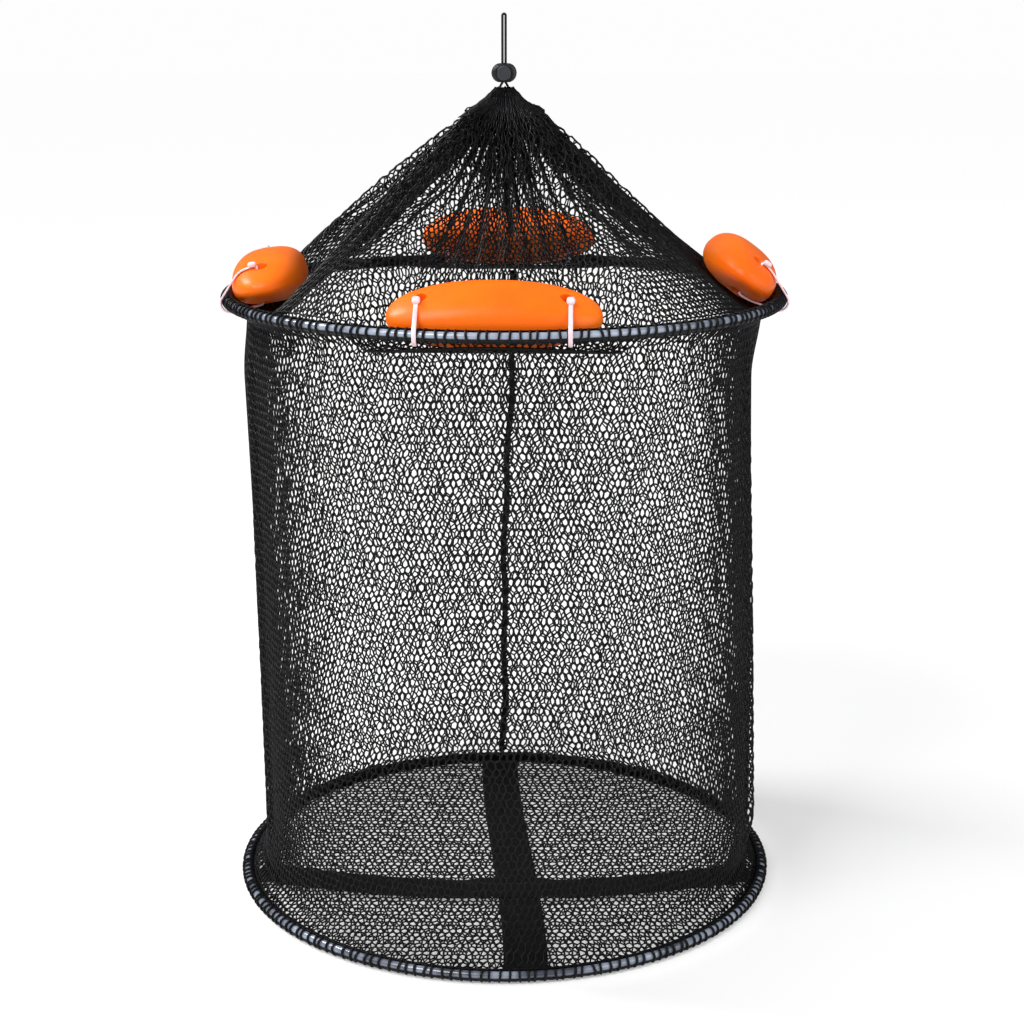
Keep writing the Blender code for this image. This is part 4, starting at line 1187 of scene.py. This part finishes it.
def strap_mesh(name, line, lift, stands_for):
    """Webbing along a line of (x, y), with ribs and thicker edges."""
    points, faces = [], []
    for layer in (1, -1):
        for n, (x, y) in enumerate(line):
            before, after = Vector(line[max(n - 1, 0)]), Vector(line[min(n + 1, len(line) - 1)])
            ahead = (after - before).normalized()
            side = Vector((-ahead.y, ahead.x))
            for k in range(STRAP_STEPS_ACROSS + 1):
                share = 2 * k / STRAP_STEPS_ACROSS - 1
                spot = Vector((x, y)) + side * share * STRAP_WIDTH / 2
                up = STRAP_Z + lift(x) + layer * half_thickness(share, n, k)
                points.append(Vector((spot.x, spot.y, up)))
    row, below = STRAP_STEPS_ACROSS + 1, len(line) * (STRAP_STEPS_ACROSS + 1)
    for n in range(len(line) - 1):
        for k in range(STRAP_STEPS_ACROSS):
            a, b, c, d = n * row + k, n * row + k + 1, (n + 1) * row + k + 1, (n + 1) * row + k
            faces.append((a, b, c, d))
            faces.append((a + below, d + below, c + below, b + below))
        for k in (0, STRAP_STEPS_ACROSS):
            a, b = n * row + k, (n + 1) * row + k
            faces.append((a, b, b + below, a + below))
    for n in (0, len(line) - 1):
        for k in range(STRAP_STEPS_ACROSS):
            a, b = n * row + k, n * row + k + 1
            faces.append((a, b, b + below, a + below))
    strap = outward(from_points(name, points, faces))
    return dress(strap, "base_hoop", "webbing", webbing, stands_for)


def along(width):
    """Stations from one end of a strap to the other, kept inside the round of the hem."""
    end = math.sqrt(STRAP_REACH**2 - (width / 2) ** 2)
    count = int(2 * end / STRAP_STEP)
    return [-end + 2 * end * n / count for n in range(count + 1)]


def long_lane(y):
    return LANE_BACK + LANE_SHIFT * smooth_step(-y, -STRAP_REACH, STRAP_REACH)


def bowed(x):
    return BOW_MIDDLE + BOW_DEPTH * (abs(x) / STRAP_REACH) ** 2


def over_crossing(x):
    """The lift of the bowed strap, which carries it over the long one."""
    beside = smooth_step(abs(x - CROSSING_X), CROSSING_FLAT, CROSSING_FLAT + CROSSING_SLOPE)
    return (STRAP_THICKNESS + GAP) * (1 - beside)


long_line = [(long_lane(y), y) for y in along(LANE_ENDS_WIDTH)]
strap_mesh("strap_long", long_line, lambda x: 0.0, "strap_front_back")
bowed_line = [(x, bowed(x)) for x in along(BOW_ENDS_WIDTH)]
strap_mesh("strap_bowed", bowed_line, over_crossing, "strap_left_right")


# Drawcord: one thin black cord, round inside the gathered rim, up through the lock as two strands
# and over at the top, where the net hangs.
CORD_RADIUS = 0.0007
STRAND_SPACING = 0.0018
GATHER_RADIUS = 0.0041
GATHER_GAP = math.radians(84)
GATHER_STEPS = 16
CROWN_STEPS = 10
STRANDS_SPREAD = 2.2
STRANDS_FORWARD = 0.45
CORD_COLOUR = (0.008, 0.008, 0.009)
CORD_DARK = (0.005, 0.005, 0.006)
CORD_LIGHT = (0.015, 0.015, 0.017)

cord_black, tree, shader = new_finish("cord_black", CORD_COLOUR, 0.55)
vary(tree, grain(tree, 900.0), shader.inputs["Base Color"], CORD_DARK, CORD_LIGHT)
shader.inputs["Specular IOR Level"].default_value = 0.25
raise_surface(tree, grain(tree, 3200.0, 1.0), shader, 0.00015, 0.9)

rim_z = HOOP_Z + CONE_RISE
lock_low, lock_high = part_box("cord_lock_body")
half = STRAND_SPACING / 2
between = (rim_z + lock_low.z) / 2
crown = -CORD_RADIUS - half
rise = [lock_low.z, (lock_low.z + lock_high.z) / 2, lock_high.z, crown - 3 * STRAND_SPACING, crown]
route = []
for n in range(GATHER_STEPS + 1):
    turn = (GATHER_GAP - math.pi) / 2 + (math.tau - GATHER_GAP) * n / GATHER_STEPS
    route.append(ring_point(GATHER_RADIUS, turn, rim_z))
route.append(Vector((-STRANDS_SPREAD * half, -STRANDS_FORWARD * GATHER_RADIUS, between)))
route += [Vector((-half, 0, z)) for z in rise]
for n in range(1, CROWN_STEPS):
    turn = math.pi - math.pi * n / CROWN_STEPS
    route.append(Vector((half * math.cos(turn), 0, crown + half * math.sin(turn))))
route += [Vector((half, 0, z)) for z in reversed(rise)]
route.append(Vector((STRANDS_SPREAD * half, -STRANDS_FORWARD * GATHER_RADIUS, between)))

curve = bpy.data.curves.new("cord", "CURVE")
curve.dimensions = "3D"
curve.bevel_depth = CORD_RADIUS
curve.bevel_resolution = 3
line = curve.splines.new("POLY")
line.points.add(len(route) - 1)
for control, at in zip(line.points, route):
    control.co = (*at, 1)
line.use_cyclic_u = True
cord = bpy.data.objects.new("drawcord_loop", curve)
bpy.context.scene.collection.objects.link(cord)
pick(cord)
bpy.ops.object.convert(target="MESH")
cord = outward(bpy.context.object)
dress(cord, "drawcord", "drawcord", cord_black, "drawcord")


# Cord lock: a bean-shaped housing of hard charcoal plastic with a sprung oval button. Housing,
# button and steel spring are the frame's own solids. The plastic has a fine moulded grain.
LOCK_DARK = (0.006, 0.006, 0.008)
LOCK_LIGHT = (0.011, 0.011, 0.014)
# The button's charcoal is lighter than the housing's: painted highlight for the light on its face and
# rim
BUTTON_DARK_WITH_HIGHLIGHT = (0.022, 0.023, 0.030)
BUTTON_LIGHT_WITH_HIGHLIGHT = (0.034, 0.036, 0.046)


def moulded(name, dark, light, roughness):
    """Charcoal plastic with a fine grain."""
    made, tree, shader = new_finish(name, light, roughness)
    vary(tree, grain(tree, 300.0), shader.inputs["Base Color"], dark, light)
    raise_surface(tree, grain(tree, 2400.0, 2.0), shader, 0.00005, 0.5)
    return made


refinish("cord_lock_body", moulded("lock_charcoal", LOCK_DARK, LOCK_LIGHT, 0.40))
# The button's lighter charcoal is painted highlight
refinish("cord_lock_button", moulded("button_charcoal_painted_highlight", BUTTON_DARK_WITH_HIGHLIGHT, BUTTON_LIGHT_WITH_HIGHLIGHT, 0.45))
refinish("cord_lock_spring", wire_steel)

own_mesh(nodes["cord_lock_spring"])
